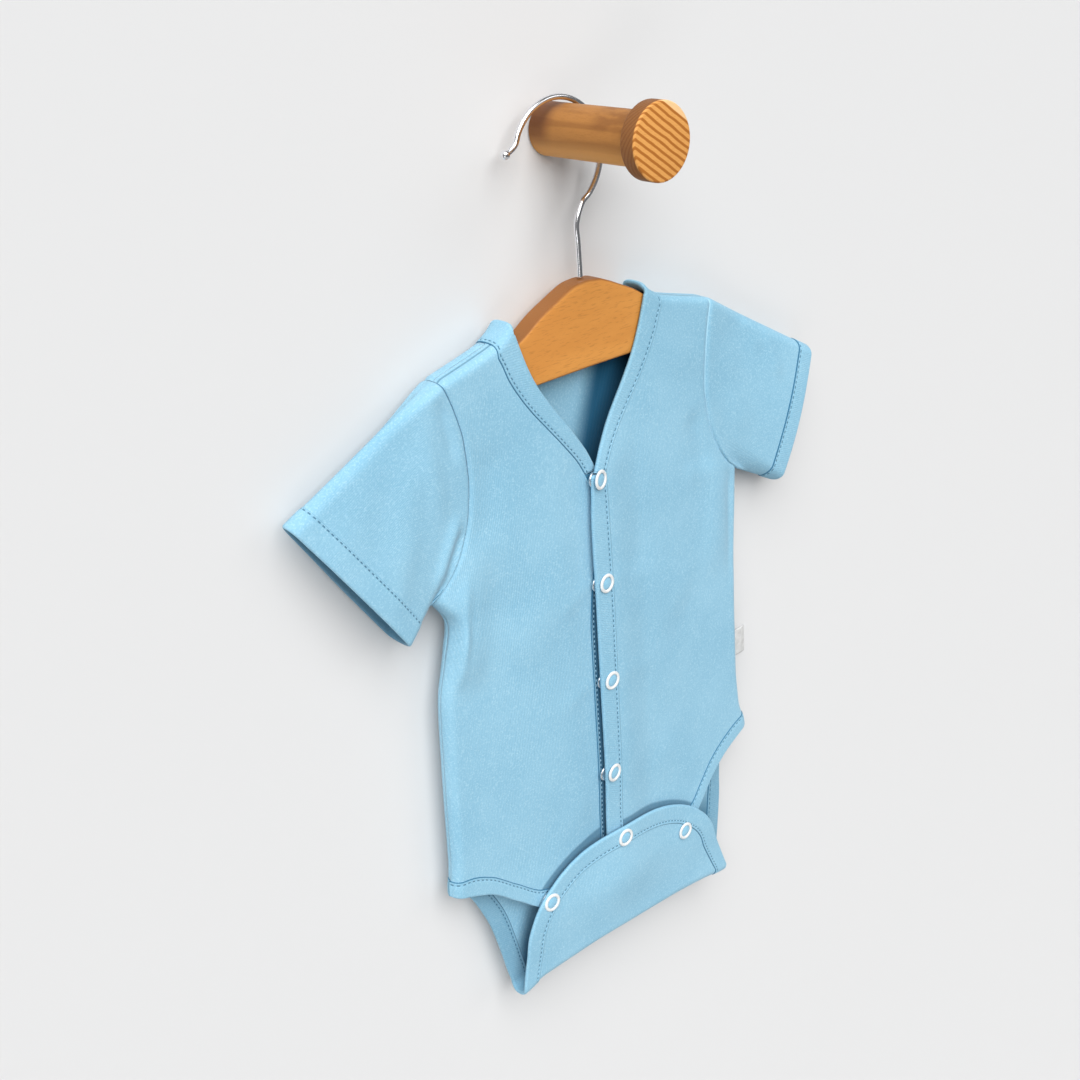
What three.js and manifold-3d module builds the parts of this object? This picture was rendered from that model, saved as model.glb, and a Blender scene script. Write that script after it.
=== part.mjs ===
// A baby onesie on a small wooden hanger, hung by its wire hook on a round wall peg.
// Millimetres, +Z up, +X to the viewer's right, +Y into the wall. The origin is the centre of the
// peg's back face, on the wall. Cloth is a thin wall on one flattened hollow form: front and back
// bulge from a middle plane and meet round the silhouette at the side, shoulder and sleeve seams.
import * as THREE from 'three';
import { mergeVertices } from 'three/addons/utils/BufferGeometryUtils.js';
import Module from 'manifold-3d';

// Driving dimensions
const CLOTH = 1.2;
const BAND = 2.2;
const BAND_WIDTH = 11;
const SEAM = 0.3;
const HANGER_Y = -12;
const SIDE_ROUND = 5;
const SHOULDER_ROUND = 5;
const FOLD_ROUND = 6;
const CROTCH_LEAN = 3;

const NECK_X = -4.5;
const NECK_HALF = 51;
const NECK_OPEN_HALF = 40.5;
const BACK_NECK_DROP = 11.5;
const BACK_NECK_OPEN_DROP = 8.5;
const SHOULDER_NECK_Z = -82.5;
const COLLAR_TOP_Z = -74.5;
const UNDERARM_Z = -191;
const HIP_Z = -341;
const HIP_CORNER_Z = -351;
const PLACKET_TOP_Z = -157.4;
const PLACKET_END_Z = -384;
const LAP_LIFT = 3;
const LAP_EASE = 24;
const UNDER_SINK = 1;
const UNDER_EASE = 20;
const LAP_START_Z = -130;
const LAP_FULL_Z = -158;
const FLAP_FOOT_Z = -425;
const FLAP_FULL_Z = -385;
const FLAP_FOOT_LIFT = 1.6;
const FLAP_LIFT = 4.2;
const FLAP_OVER_PLACKET = 3;
const FLAP_OVER_WIDTH = 22;
const NECK_SQUARENESS = 2.6;

const SNAP_DIAMETER = 10;
const SNAP_HOLE = 6.4;
const SNAP_HEIGHT = 1;
const SOCKET_DIAMETER = 8;
const SNAP_X = -4.5;
const FIRST_SNAP_Z = -160;
const SNAP_SPACING = 54.8;
const PLACKET_SNAPS = 4;
const RING_LIFT = 0.9;
const SOCKET_LIFT = -2.6;
const SOCKET_HEIGHT = 1.1;
const FLAP_SOCKET_LIFT = -2.7;
const FLAP_SOCKET_HEIGHT = 1;
const LABEL_WIDTH = 10;
const LABEL_THICKNESS = 1;
const LABEL_HEIGHT = 16;
const LABEL_Z = -297;

const HANGER_THICKNESS = 11;
const HANGER_EDGE = 1;
const WIRE = 2.8;
const HOOK_RADIUS = 25.4;
const HOOK_CENTRE_X = -5.98;
const HOOK_CENTRE_Z = -10.35;
const HOOK_START_ANGLE = 160;
const HOOK_END_ANGLE = -60;
const HOOK_BALL = 4.4;
const STEM_X = 2.4;
const STEM_END_Z = -66.1;
const PEG_DIAMETER = 23.5;
const PEG_LENGTH = 62;
const KNOB_DIAMETER = 33.2;
const KNOB_THICKNESS = 8.4;
const KNOB_EDGE = 1;

// Silhouette under the arms, seen from the front
const SIDES = [
  { z: -191, left: -100.5, right: 102 },
  { z: -207, left: -94, right: 101.3 },
  { z: -222, left: -96.5, right: 100.5 },
  { z: -245, left: -101.5, right: 99.5 },
  { z: -275, left: -103, right: 98.8 },
  { z: -307, left: -104.7, right: 98.8 },
  { z: -333, left: -106, right: 101 },
  { z: -351, left: -108, right: 105.5 },
  { z: -440, left: -108, right: 105.5 },
];

// Seam where each sleeve is set in
const ARMHOLES = [
  { z: -91.5, left: -85.5, right: 81.5 },
  { z: -105, left: -80.5, right: 78.5 },
  { z: -120, left: -76.8, right: 76.8 },
  { z: -138, left: -75.4, right: 76.4 },
  { z: -155, left: -77.5, right: 79 },
  { z: -168, left: -82.3, right: 83.5 },
  { z: -180, left: -89.5, right: 90.5 },
  { z: -191, left: -100.5, right: 102 },
];

// Top silhouette over the hanger, by distance from the neck's centre line
const SHOULDERS = [
  { out: 0, z: -58 },
  { out: 30, z: -58 },
  { out: 40.5, z: -74.5 },
  { out: 45, z: -79 },
  { out: 51, z: -82.5 },
  { out: 60, z: -85.3 },
  { out: 84, z: -91.6 },
  { out: 200, z: -122 },
];

// V neck: the seam of the binding and its open edge, each by its distance from the centre line
const NECK = [
  { seam: 51, seamZ: -88, edge: 39.9, edgeZ: -80 },
  { seam: 49.2, seamZ: -92, edge: 38, edgeZ: -86 },
  { seam: 46.5, seamZ: -99, edge: 35.3, edgeZ: -94 },
  { seam: 41.5, seamZ: -108, edge: 30.5, edgeZ: -105 },
  { seam: 35, seamZ: -117.5, edge: 24, edgeZ: -115.5 },
  { seam: 27, seamZ: -127.5, edge: 16.5, edgeZ: -126 },
  { seam: 17.8, seamZ: -139, edge: 8.4, edgeZ: -137.5 },
  { seam: 9.5, seamZ: -150, edge: 2, edgeZ: -147.5 },
  { seam: 5.5, seamZ: -157, edge: -2.4, edgeZ: -156.5 },
];

// Below the neck: where each front panel ends at the placket, and the left edge of the upper band
const PLACKET = [
  { z: -157, left: -10, right: 1, lap: -8.8 },
  { z: -185, left: -10.8, right: 1.3, lap: -10.6 },
  { z: -230, left: -13, right: 1, lap: -11.2 },
  { z: -315, left: -13.6, right: 0.2, lap: -11.6 },
  { z: -390, left: -14.8, right: -1.2, lap: -13 },
];

// Lower edge of each front: the seam of the leg binding and its open edge
const LEGS = {
  left: [
    { out: 108, seamZ: -341, edgeZ: -350.5 },
    { out: 98, seamZ: -342.5, edgeZ: -354 },
    { out: 87, seamZ: -347.5, edgeZ: -359 },
    { out: 72, seamZ: -360, edgeZ: -371.5 },
    { out: 56, seamZ: -372.5, edgeZ: -384 },
    { out: 42, seamZ: -376, edgeZ: -387.5 },
    { out: 14, seamZ: -371, edgeZ: -382.5 },
    { out: 0, seamZ: -370, edgeZ: -381.5 },
  ],
  right: [
    { out: 105.5, seamZ: -341, edgeZ: -350.5 },
    { out: 97, seamZ: -343, edgeZ: -354 },
    { out: 85, seamZ: -348.5, edgeZ: -360 },
    { out: 73, seamZ: -357, edgeZ: -369.5 },
    { out: 63, seamZ: -368, edgeZ: -381 },
    { out: 54, seamZ: -378, edgeZ: -390 },
    { out: 42, seamZ: -382.5, edgeZ: -394 },
    { out: 14, seamZ: -376, edgeZ: -387.5 },
    { out: 0, seamZ: -372, edgeZ: -383.5 },
  ],
};

// Half depth of the hollow form on each face, at its edges and on its centre line
const DEPTHS = [
  { z: -76, edge: 7.7, front: 7.9, back: 7.9 },
  { z: -100, edge: 7.6, front: 8, back: 7.7 },
  { z: -116, edge: 7.1, front: 8.3, back: 7.4 },
  { z: -132, edge: 5.4, front: 8.7, back: 6.8 },
  { z: -150, edge: 4.7, front: 9, back: 6.2 },
  { z: -191, edge: 4.6, front: 9.4, back: 5 },
  { z: -260, edge: 5, front: 9.4, back: 4.6 },
  { z: -320, edge: 5, front: 8.6, back: 4.6 },
  { z: -351, edge: 4.6, front: 7.6, back: 4.6 },
  { z: -400, edge: 4.4, front: 6.8, back: 4.6 },
  { z: -440, edge: 4.4, front: 6.4, back: 4.6 },
];

// Back leg edges below the hip, by their share of the way down to the crotch fold: the seam of the
// long binding and its open edge, which lies lower by drop
const BACK_LEGS = [
  { share: 0.06, leftSeam: -97, leftEdge: -101, rightSeam: 95, rightEdge: 99, drop: 8.5 },
  { share: 0.155, leftSeam: -89, leftEdge: -94.5, rightSeam: 86.5, rightEdge: 92, drop: 6.8 },
  { share: 0.31, leftSeam: -80.5, leftEdge: -89, rightSeam: 80.5, rightEdge: 88.5, drop: 5 },
  { share: 0.51, leftSeam: -73.8, leftEdge: -83.8, rightSeam: 77, rightEdge: 87, drop: 3 },
  { share: 0.73, leftSeam: -69.8, leftEdge: -80.2, rightSeam: 74, rightEdge: 84.3, drop: 1.6 },
  { share: 0.92, leftSeam: -67, leftEdge: -77.5, rightSeam: 71, rightEdge: 81.5, drop: 0.6 },
  { share: 1, leftSeam: -65.7, leftEdge: -76, rightSeam: 69, rightEdge: 79.3, drop: 0 },
];

// Crotch fold, which droops at its corners
const FOLD = [
  { x: -108, z: -433 },
  { x: -76, z: -430.5 },
  { x: -60, z: -427 },
  { x: -31, z: -427 },
  { x: 1, z: -428.5 },
  { x: 35, z: -431.5 },
  { x: 60, z: -435 },
  { x: 77, z: -438 },
  { x: 108, z: -440 },
];

// Flap: an arch over its fold, a little turned
const FLAP_X = -1.5;
const FLAP_HALF = 72;
const FLAP_TOP_Z = -359;
const FLAP_SPRING_Z = -412;
const FLAP_ROUND_POWER = 2.15;
const FLAP_TURN = -0.1;

// Sleeve openings, with how far each bulges in front and behind
const SLEEVES = {
  left: { top: [-166, -131.5], low: [-118.5, -204.5], front: 7.5, back: 6.5 },
  right: { top: [161.5, -138], low: [134, -208], front: 9.5, back: 6.5 },
};
const SLEEVE_HEM = 12;

// Largest soft folds: a ridge from one end to the other, in the plane of the front
const RIDGES = [
  { face: -1, x0: -94, z0: -190, x1: -86, z1: -240, width: 9, height: 2.2 },
  { face: -1, x0: -78, z0: -172, x1: -84, z1: -232, width: 9, height: 1.6 },
  { face: -1, x0: 92, z0: -186, x1: 86, z1: -240, width: 10, height: 2 },
  { face: -1, x0: -60, z0: -235, x1: -24, z1: -205, width: 16, height: 0.9 },
  { face: -1, x0: 52, z0: -250, x1: 16, z1: -218, width: 16, height: 0.9 },
  { face: 1, x0: -92, z0: -190, x1: -80, z1: -245, width: 11, height: 1.2 },
  { face: 1, x0: 92, z0: -190, x1: 80, z1: -245, width: 11, height: 1.2 },
  { face: 1, x0: -40, z0: -130, x1: -30, z1: -300, width: 22, height: 0.7 },
];

// Ring snaps on the flap
const FLAP_SNAPS = [
  { x: -55, z: -379 },
  { x: -4, z: -365 },
  { x: 43.5, z: -388 },
];

// Right half of the hanger's outline, by distance from its stem
const HANGER_OUTLINE = [
  { out: 0, z: -66.4 },
  { out: 7, z: -67.1 },
  { out: 13.5, z: -69.4 },
  { out: 20, z: -72.4 },
  { out: 28, z: -76.2 },
  { out: 33, z: -79.2 },
  { out: 37.5, z: -82.2 },
  { out: 44, z: -85.6 },
  { out: 54, z: -89 },
  { out: 66, z: -92.6 },
  { out: 75, z: -95.4 },
  { out: 79, z: -99.5 },
  { out: 79, z: -105 },
  { out: 75, z: -110.4 },
  { out: 66, z: -110.6 },
  { out: 48, z: -108.6 },
  { out: 34, z: -107.5 },
  { out: 0, z: -107.2 },
];

// Hook wire outside its round bend: the ball tip and its straight end, then the stem
const HOOK_TIP = [{ x: -35.5, z: -4.8 }, { x: -32.6, z: -3.6 }];
const HOOK_STEM = [{ x: STEM_X, z: -41 }, { x: STEM_X, z: -50 }, { x: STEM_X, z: STEM_END_Z }];

// Mesh: rows and columns of the panels, and shares of depth or length at which they lie
const ARMHOLE_ROWS = 9;
const PLACKET_ROWS = 9;
const BODY_ROWS = 7;
const FRONT_COLUMNS = 7;
const BACK_COLUMNS = 12;
const SHOULDER_STEPS = [0.02, 0.5, 0.85, 1];
const SIDE_STEPS = [0.03, 0.5, 0.85, 1];
const HEM_SHARES = [0, 0.008, 0.027, 0.058, 0.2, 0.35, 0.5, 0.65, 0.8, 0.942, 0.973, 0.992, 1];
const SLEEVE_RINGS = [0, 0.14, 0.34, 0.56, 0.78, 1];
const ON_SEAM = 0.002;
const UNDERARM_GAP = 1.2;
const SLOPE_STEP = 0.02;
const ROUND_SIDES = 36;

const CLOTH_BLUE = new THREE.Color(0x9ccfe8);
const clothFinish = () => new THREE.MeshStandardMaterial({ color: CLOTH_BLUE, roughness: 0.9 });
const woodFinish = () => new THREE.MeshStandardMaterial({ color: 0xda9750, roughness: 0.5 });
const pegFinish = () => new THREE.MeshStandardMaterial({ color: 0xb57f42, roughness: 0.5 });
const steelFinish = () => new THREE.MeshStandardMaterial({ color: 0xd8d8d8, roughness: 0.15, metalness: 1 });
const enamelFinish = () => new THREE.MeshStandardMaterial({ color: 0xffffff, roughness: 0.3 });
const labelFinish = () => new THREE.MeshStandardMaterial({ color: 0xf4f4f2, roughness: 0.8 });

const { lerp, smoothstep, clamp } = THREE.MathUtils;

// Value of a table's column at a key, on a smooth curve through its rows
function read(table, keyName, key, column) {
  const rising = table[table.length - 1][keyName] > table[0][keyName];
  const rows = rising ? table : [...table].reverse();
  const last = rows.length - 1;
  const at = clamp(key, rows[0][keyName], rows[last][keyName]);
  let i = 0;
  while (i < last - 1 && at > rows[i + 1][keyName]) i += 1;
  const slope = (a, b) => (rows[b][column] - rows[a][column]) / (rows[b][keyName] - rows[a][keyName]);
  const tangent = (k) => {
    if (k === 0) return slope(0, 1);
    if (k === last) return slope(last - 1, last);
    const before = slope(k - 1, k);
    const after = slope(k, k + 1);
    return before * after <= 0 ? 0 : (2 * before * after) / (before + after);
  };
  const span = rows[i + 1][keyName] - rows[i][keyName];
  const t = (at - rows[i][keyName]) / span;
  const t2 = t * t;
  const t3 = t2 * t;
  return (2 * t3 - 3 * t2 + 1) * rows[i][column] + (t3 - 2 * t2 + t) * span * tangent(i)
    + (3 * t2 - 2 * t3) * rows[i + 1][column] + (t3 - t2) * span * tangent(i + 1);
}

const sideName = (side) => (side < 0 ? 'left' : 'right');
const sideX = (side, z) => read(SIDES, 'z', z, sideName(side));
const armholeX = (side, z) => read(ARMHOLES, 'z', z, sideName(side));
const shoulderZ = (x) => read(SHOULDERS, 'out', Math.abs(x - NECK_X), 'z');
const foldZ = (x) => read(FOLD, 'x', x, 'z');

// How far into a round edge a depth step lies, as a share of the round's reach
const shoulderReach = (step) => 1 - Math.cbrt(1 - step ** 3);
const sideReach = (step) => 1 - Math.sqrt(1 - step ** 2);

// Square of the rounding at the silhouettes, negative outside them
function roundSquared(share) {
  const inside = 1 - Math.min(share, 1);
  return 1 - inside ** 2;
}
function squareRoundSquared(share) {
  const inside = 1 - (1 - Math.min(share, 1)) ** 3;
  return Math.sign(inside) * Math.abs(inside) ** (2 / 3);
}

function sideDistance(x, z) {
  const side = x < NECK_X ? -1 : 1;
  if (z <= UNDERARM_Z) return side * (sideX(side, z) - x);
  const cornerX = side * (sideX(side, UNDERARM_Z) - x);
  return Math.hypot(cornerX, z - UNDERARM_Z);
}

function ridges(x, z, face) {
  let height = 0;
  for (const ridge of RIDGES) {
    if (ridge.face === face) {
      const alongX = ridge.x1 - ridge.x0;
      const alongZ = ridge.z1 - ridge.z0;
      const length = Math.hypot(alongX, alongZ);
      const along = ((x - ridge.x0) * alongX + (z - ridge.z0) * alongZ) / length ** 2;
      const across = ((x - ridge.x0) * alongZ - (z - ridge.z0) * alongX) / length;
      const fade = smoothstep(along, -0.15, 0.2) * (1 - smoothstep(along, 0.7, 1.15));
      height += ridge.height * fade * Math.exp(-((across / ridge.width) ** 2));
    }
  }
  return height;
}

// Extra height of the lapped layers at the placket
function lap(x, z, layer) {
  const near = smoothstep(-z, -LAP_START_Z, -LAP_FULL_Z);
  const overEdge = PLACKET[0].right;
  const underEdge = PLACKET[0].left;
  if (layer === 'over') return near * LAP_LIFT * (1 - smoothstep(x, overEdge, overEdge + LAP_EASE));
  if (layer === 'under') return -near * UNDER_SINK * smoothstep(x, underEdge - UNDER_EASE, underEdge);
  return 0;
}

// Height of the flap above the fronts
function flapLift(x, z) {
  const rise = smoothstep(z, FLAP_FOOT_Z, FLAP_FULL_Z);
  const overPlacket = FLAP_OVER_PLACKET * Math.exp(-(((x - SNAP_X) / FLAP_OVER_WIDTH) ** 2));
  return lerp(FLAP_FOOT_LIFT, FLAP_LIFT, rise) + rise * overPlacket;
}

function depth(x, z, face, layer) {
  const half = Math.max(Math.abs(sideX(x < 0 ? -1 : 1, z)), 1);
  const edge = read(DEPTHS, 'z', z, 'edge');
  const middle = read(DEPTHS, 'z', z, face < 0 ? 'front' : 'back');
  const share = clamp(Math.abs(x) / half, 0, 1);
  const bulge = edge + (middle - edge) * (1 - share ** 2) + ridges(x, z, face);
  if (layer === 'flap') return bulge + flapLift(x, z);
  return bulge + lap(x, z, layer);
}

const middleY = (z) => HANGER_Y - CROTCH_LEAN * smoothstep(-z, 350, 432);

// Square of the half depth, signed so that it is negative outside the silhouette
function depthSquared(x, z, face, layer) {
  const top = squareRoundSquared((shoulderZ(x) - z) / SHOULDER_ROUND);
  const side = roundSquared(sideDistance(x, z) / SIDE_ROUND);
  const folded = face > 0 || layer === 'flap';
  const fold = folded ? roundSquared((z - foldZ(x)) / FOLD_ROUND) : 1;
  return depth(x, z, face, layer) ** 2 * top * side * fold;
}

// A point on the outside of the form, with its outward normal, moved out by lift
function onBody(x, z, face, layer = 'plain', lift = 0) {
  const step = SLOPE_STEP;
  const half = Math.sqrt(Math.max(depthSquared(x, z, face, layer), 0));
  const squared = (atX, atZ) => depthSquared(atX, atZ, face, layer);
  const acrossX = (squared(x + step, z) - squared(x - step, z)) / (2 * step);
  const acrossZ = (squared(x, z + step) - squared(x, z - step)) / (2 * step);
  const lean = (middleY(z + step) - middleY(z - step)) / (2 * step);
  const off = face * half;
  const normal = new THREE.Vector3(-acrossX, 2 * off, -2 * off * lean - acrossZ).normalize();
  const point = new THREE.Vector3(x, middleY(z) + off, z).addScaledVector(normal, lift);
  return { point, normal };
}

// Closed wall under a grid of outer points; a looped grid closes on itself along each row
function wall(rows, thickness, looped = false) {
  const across = rows[0].length;
  const count = rows.length * across;
  const positions = [];
  for (const inset of [0, thickness]) {
    for (const row of rows) {
      for (const { point, normal } of row) {
        const moved = point.clone().addScaledVector(normal, -inset);
        positions.push(moved.x, moved.y, moved.z);
      }
    }
  }
  const faces = [];
  const quad = (a, b, c, d) => faces.push([a, b, c], [a, c, d]);
  const outer = (i, j) => i * across + (j % across);
  const inner = (i, j) => count + outer(i, j);
  const columns = looped ? across : across - 1;
  const lastRow = rows.length - 1;
  for (let i = 0; i < lastRow; i += 1) {
    for (let j = 0; j < columns; j += 1) {
      quad(outer(i, j), outer(i, j + 1), outer(i + 1, j + 1), outer(i + 1, j));
      quad(inner(i, j), inner(i + 1, j), inner(i + 1, j + 1), inner(i, j + 1));
    }
    if (!looped) {
      quad(outer(i, 0), outer(i + 1, 0), inner(i + 1, 0), inner(i, 0));
      quad(outer(i, columns), inner(i, columns), inner(i + 1, columns), outer(i + 1, columns));
    }
  }
  for (let j = 0; j < columns; j += 1) {
    quad(outer(0, j), inner(0, j), inner(0, j + 1), outer(0, j + 1));
    quad(outer(lastRow, j), outer(lastRow, j + 1), inner(lastRow, j + 1), inner(lastRow, j));
  }
  const corner = (k) => new THREE.Vector3().fromArray(positions, 3 * k);
  const volume = faces.reduce((sum, [a, b, c]) => sum + corner(a).dot(corner(b).cross(corner(c))), 0);
  const index = faces.flatMap(([a, b, c]) => (volume > 0 ? [a, b, c] : [a, c, b]));
  const geometry = new THREE.BufferGeometry();
  geometry.setAttribute('position', new THREE.Float32BufferAttribute(positions, 3));
  geometry.setIndex(index);
  return geometry;
}

const steps = (count) => Array.from({ length: count + 1 }, (_, i) => i / count);

// Columns of a row: three close ones round the outer edge, then even ones to the inner end
function rowPositions(outerX, innerX, firstInset, evenColumns) {
  const direction = Math.sign(innerX - outerX);
  const near = SIDE_STEPS.map((step) => sideReach(step) * SIDE_ROUND);
  near[0] = firstInset;
  const start = outerX + direction * SIDE_ROUND;
  const even = steps(evenColumns).slice(1).map((t) => lerp(start, innerX, t));
  return [...near.map((inset) => outerX + direction * inset), ...even];
}

// Heights at which panels and sleeve share points along the armhole seam
const shoulderDrops = SHOULDER_STEPS.map((step) => shoulderReach(step) * SHOULDER_ROUND);
const armholeZs = (side) => {
  const tipZ = shoulderZ(ARMHOLES[0][sideName(side)]);
  const below = steps(ARMHOLE_ROWS).slice(1).map((v) => lerp(tipZ - SHOULDER_ROUND, UNDERARM_Z, v));
  return [...shoulderDrops.map((drop) => tipZ - drop), ...below];
};
// Heights and places along the placket that panels and bands share
const neckEndZ = NECK[NECK.length - 1].seamZ;
const seamTable = (side) => LEGS[sideName(side)];
const frontInnerX = (side, z) => (
  z > neckEndZ ? NECK_X + side * read(NECK, 'seamZ', z, 'seam') : read(PLACKET, 'z', z, sideName(side)));
const bottomZ = (side, x, column) => read(seamTable(side), 'out', Math.abs(x), column);
const placketFootZ = (side) => bottomZ(side, frontInnerX(side, HIP_Z), 'seamZ');
const placketZs = (side) => steps(PLACKET_ROWS).map((v) => lerp(neckEndZ, placketFootZ(side), v));
const bottomXs = (side, outerZ, innerZ) => {
  const innerX = frontInnerX(side, innerZ) + (side * SEAM) / 2;
  return rowPositions(sideX(side, outerZ), innerX, ON_SEAM, FRONT_COLUMNS);
};

// Front panel: rows run from the armhole or side seam to the neck or placket
function frontPanel(side) {
  const layer = side < 0 ? 'under' : 'over';
  const rows = [];
  const addRow = (outerX, innerZ, inset, heightAt) => {
    const innerX = frontInnerX(side, innerZ) + (side * SEAM) / 2;
    const xs = rowPositions(outerX, innerX, inset, FRONT_COLUMNS);
    rows.push(xs.map((x, j) => onBody(x, heightAt(x, j / (xs.length - 1), j), -1, layer)));
  };
  const outerZs = armholeZs(side);
  shoulderDrops.forEach((drop, k) => {
    addRow(armholeX(side, outerZs[k]), SHOULDER_NECK_Z - drop, SEAM / 2, (x) => shoulderZ(x) - drop);
  });
  NECK.forEach(({ seamZ }, k) => {
    const outerZ = outerZs[SHOULDER_STEPS.length + k];
    const inset = outerZ === UNDERARM_Z ? ON_SEAM : SEAM / 2;
    addRow(armholeX(side, outerZ), seamZ, inset, (x, t) => lerp(outerZ, seamZ, t));
  });
  const foot = bottomXs(side, HIP_Z, placketFootZ(side)).map((x) => bottomZ(side, x, 'seamZ'));
  steps(PLACKET_ROWS).slice(1).forEach((v, k) => {
    const outerX = sideX(side, lerp(UNDERARM_Z, HIP_Z, v));
    const height = (x, t, j) => lerp(lerp(UNDERARM_Z, neckEndZ, t), foot[j], v);
    addRow(outerX, placketZs(side)[k + 1], ON_SEAM, height);
  });
  return wall(rows, CLOTH);
}

// Point of a superellipse from (half, 0) at angle 0 to (0, -drop) at a right angle
function neckCurve(angle, half, drop) {
  const power = 2 / NECK_SQUARENESS;
  return [half * Math.cos(angle) ** power, -drop * Math.sin(angle) ** power];
}
const NECK_ANGLES = [18, 36, 54, 72, 90].map(THREE.MathUtils.degToRad);

// Flap outline, from its left spring at -1 over the top to its right spring at 1
function flapArch(t, inset) {
  const angle = (t * Math.PI) / 2;
  const power = 2 / FLAP_ROUND_POWER;
  const dx = Math.sign(angle) * (FLAP_HALF - inset) * Math.abs(Math.sin(angle)) ** power;
  const dz = (FLAP_TOP_Z - FLAP_SPRING_Z - inset) * Math.cos(angle) ** power;
  const cos = Math.cos(FLAP_TURN);
  const sin = Math.sin(FLAP_TURN);
  return [FLAP_X + dx * cos - dz * sin, FLAP_SPRING_Z + dx * sin + dz * cos];
}

// Columns of the back, close together round both side edges
function backColumns(leftX, rightX, inset) {
  const near = SIDE_STEPS.map((step, k) => (k === 0 ? inset : sideReach(step) * SIDE_ROUND));
  const left = near.map((reach) => leftX + reach);
  const right = near.map((reach) => rightX - reach).reverse();
  const even = steps(BACK_COLUMNS).slice(1, -1);
  return [...left, ...even.map((t) => lerp(leftX + SIDE_ROUND, rightX - SIDE_ROUND, t)), ...right];
}
const evenShares = steps(backColumns(0, 1, 0).length - 1);
const legHeight = (x, share) => lerp(HIP_Z, foldZ(x) + FOLD_ROUND, share);
const lastLeg = BACK_LEGS[BACK_LEGS.length - 1];

// Flap edge from the fold to the top of its arch, at one side: straight, then along the arch
const ARCH_TOP_SHARE = 0.5;
const ARCH_SIDE_SHARES = [0.86, 0.74, 0.62, ARCH_TOP_SHARE];
const archTopShares = evenShares.map((t) => lerp(-ARCH_TOP_SHARE, ARCH_TOP_SHARE, t));
function flapSide(side, footX, inset) {
  const foot = [footX, foldZ(footX) + FOLD_ROUND];
  const arch = ARCH_SIDE_SHARES.map((share) => flapArch(side * share, inset));
  return [foot, [lerp(foot[0], arch[0][0], 0.5), lerp(foot[1], arch[0][1], 0.5)], ...arch];
}

// Back: rows from shoulder to shoulder, down the back, round the crotch fold and up the flap
function backPanel() {
  const rows = [];
  const leftZs = armholeZs(-1);
  const rightZs = armholeZs(1);
  const topXs = backColumns(armholeX(-1, leftZs[0]), armholeX(1, rightZs[0]), SEAM / 2);
  const topZs = topXs.map((x) => (Math.abs(x - NECK_X) < NECK_HALF ? SHOULDER_NECK_Z : shoulderZ(x)));
  leftZs.forEach((leftZ, k) => {
    const inset = leftZ === UNDERARM_Z ? ON_SEAM : SEAM / 2;
    const xs = backColumns(armholeX(-1, leftZ), armholeX(1, rightZs[k]), inset);
    const share = (k + 1 - shoulderDrops.length) / ARMHOLE_ROWS;
    const height = (j) => (share < 0 ? topZs[j] - shoulderDrops[k]
      : lerp(topZs[j] - SHOULDER_ROUND, UNDERARM_Z, share));
    rows.push(xs.map((x, j) => onBody(x, height(j), 1)));
  });
  for (const v of steps(BODY_ROWS).slice(1)) {
    const z = lerp(UNDERARM_Z, HIP_Z, v);
    rows.push(backColumns(sideX(-1, z), sideX(1, z), ON_SEAM).map((x) => onBody(x, z, 1)));
  }
  BACK_LEGS.forEach(({ share, leftSeam, rightSeam }, k) => {
    const close = backColumns(leftSeam + SEAM / 2, rightSeam - SEAM / 2, 0);
    const evenness = Math.min((k + 1) / 3, 1);
    const xs = close.map((x, j) => lerp(x, lerp(close[0], close[close.length - 1], evenShares[j]), evenness));
    rows.push(xs.map((x) => onBody(x, legHeight(x, share), 1)));
  });
  const foldXs = evenShares.map((t) => lerp(lastLeg.leftSeam + SEAM / 2, lastLeg.rightSeam - SEAM / 2, t));
  const foldRow = (step, face, layer) => (x) => {
    return onBody(x, foldZ(x) + sideReach(step) * FOLD_ROUND, face, layer);
  };
  for (const step of [0.85, 0.5, 0]) rows.push(foldXs.map(foldRow(step, 1, 'plain')));
  for (const step of [0.5, 0.85, 1]) rows.push(foldXs.map(foldRow(step, -1, 'flap')));
  const inset = BAND_WIDTH + SEAM / 2;
  const left = flapSide(-1, foldXs[0], inset);
  const right = flapSide(1, foldXs[foldXs.length - 1], inset);
  const top = archTopShares.map((t) => flapArch(t, inset));
  const last = left.length - 1;
  for (let k = 1; k <= last; k += 1) {
    const v = k / last;
    rows.push(evenShares.map((u, j) => {
      const [x, z] = [0, 1].map((axis) => {
        const foot = axis === 0 ? foldXs[j] : foldZ(foldXs[j]) + FOLD_ROUND;
        const leftBow = left[k][axis] - lerp(left[0][axis], left[last][axis], v);
        const rightBow = right[k][axis] - lerp(right[0][axis], right[last][axis], v);
        return lerp(foot, top[j][axis], v) + lerp(leftBow, rightBow, u);
      });
      return onBody(x, z, -1, 'flap');
    }));
  }
  return cutBackNeck(wall(rows, CLOTH));
}

const wasm = await Module();
wasm.setup();

function toSolid(geometry) {
  const bare = geometry.clone();
  bare.deleteAttribute('normal');
  bare.deleteAttribute('uv');
  const merged = mergeVertices(bare, 1e-5);
  const vertProperties = Float32Array.from(merged.attributes.position.array);
  const triVerts = Uint32Array.from(merged.index.array);
  return new wasm.Manifold(new wasm.Mesh({ numProp: 3, vertProperties, triVerts }));
}

function toGeometry(solid) {
  const { vertProperties, triVerts, numProp } = solid.getMesh();
  const geometry = new THREE.BufferGeometry();
  geometry.setAttribute('position', new THREE.BufferAttribute(vertProperties, numProp));
  geometry.setIndex([...triVerts]);
  return geometry;
}

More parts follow.
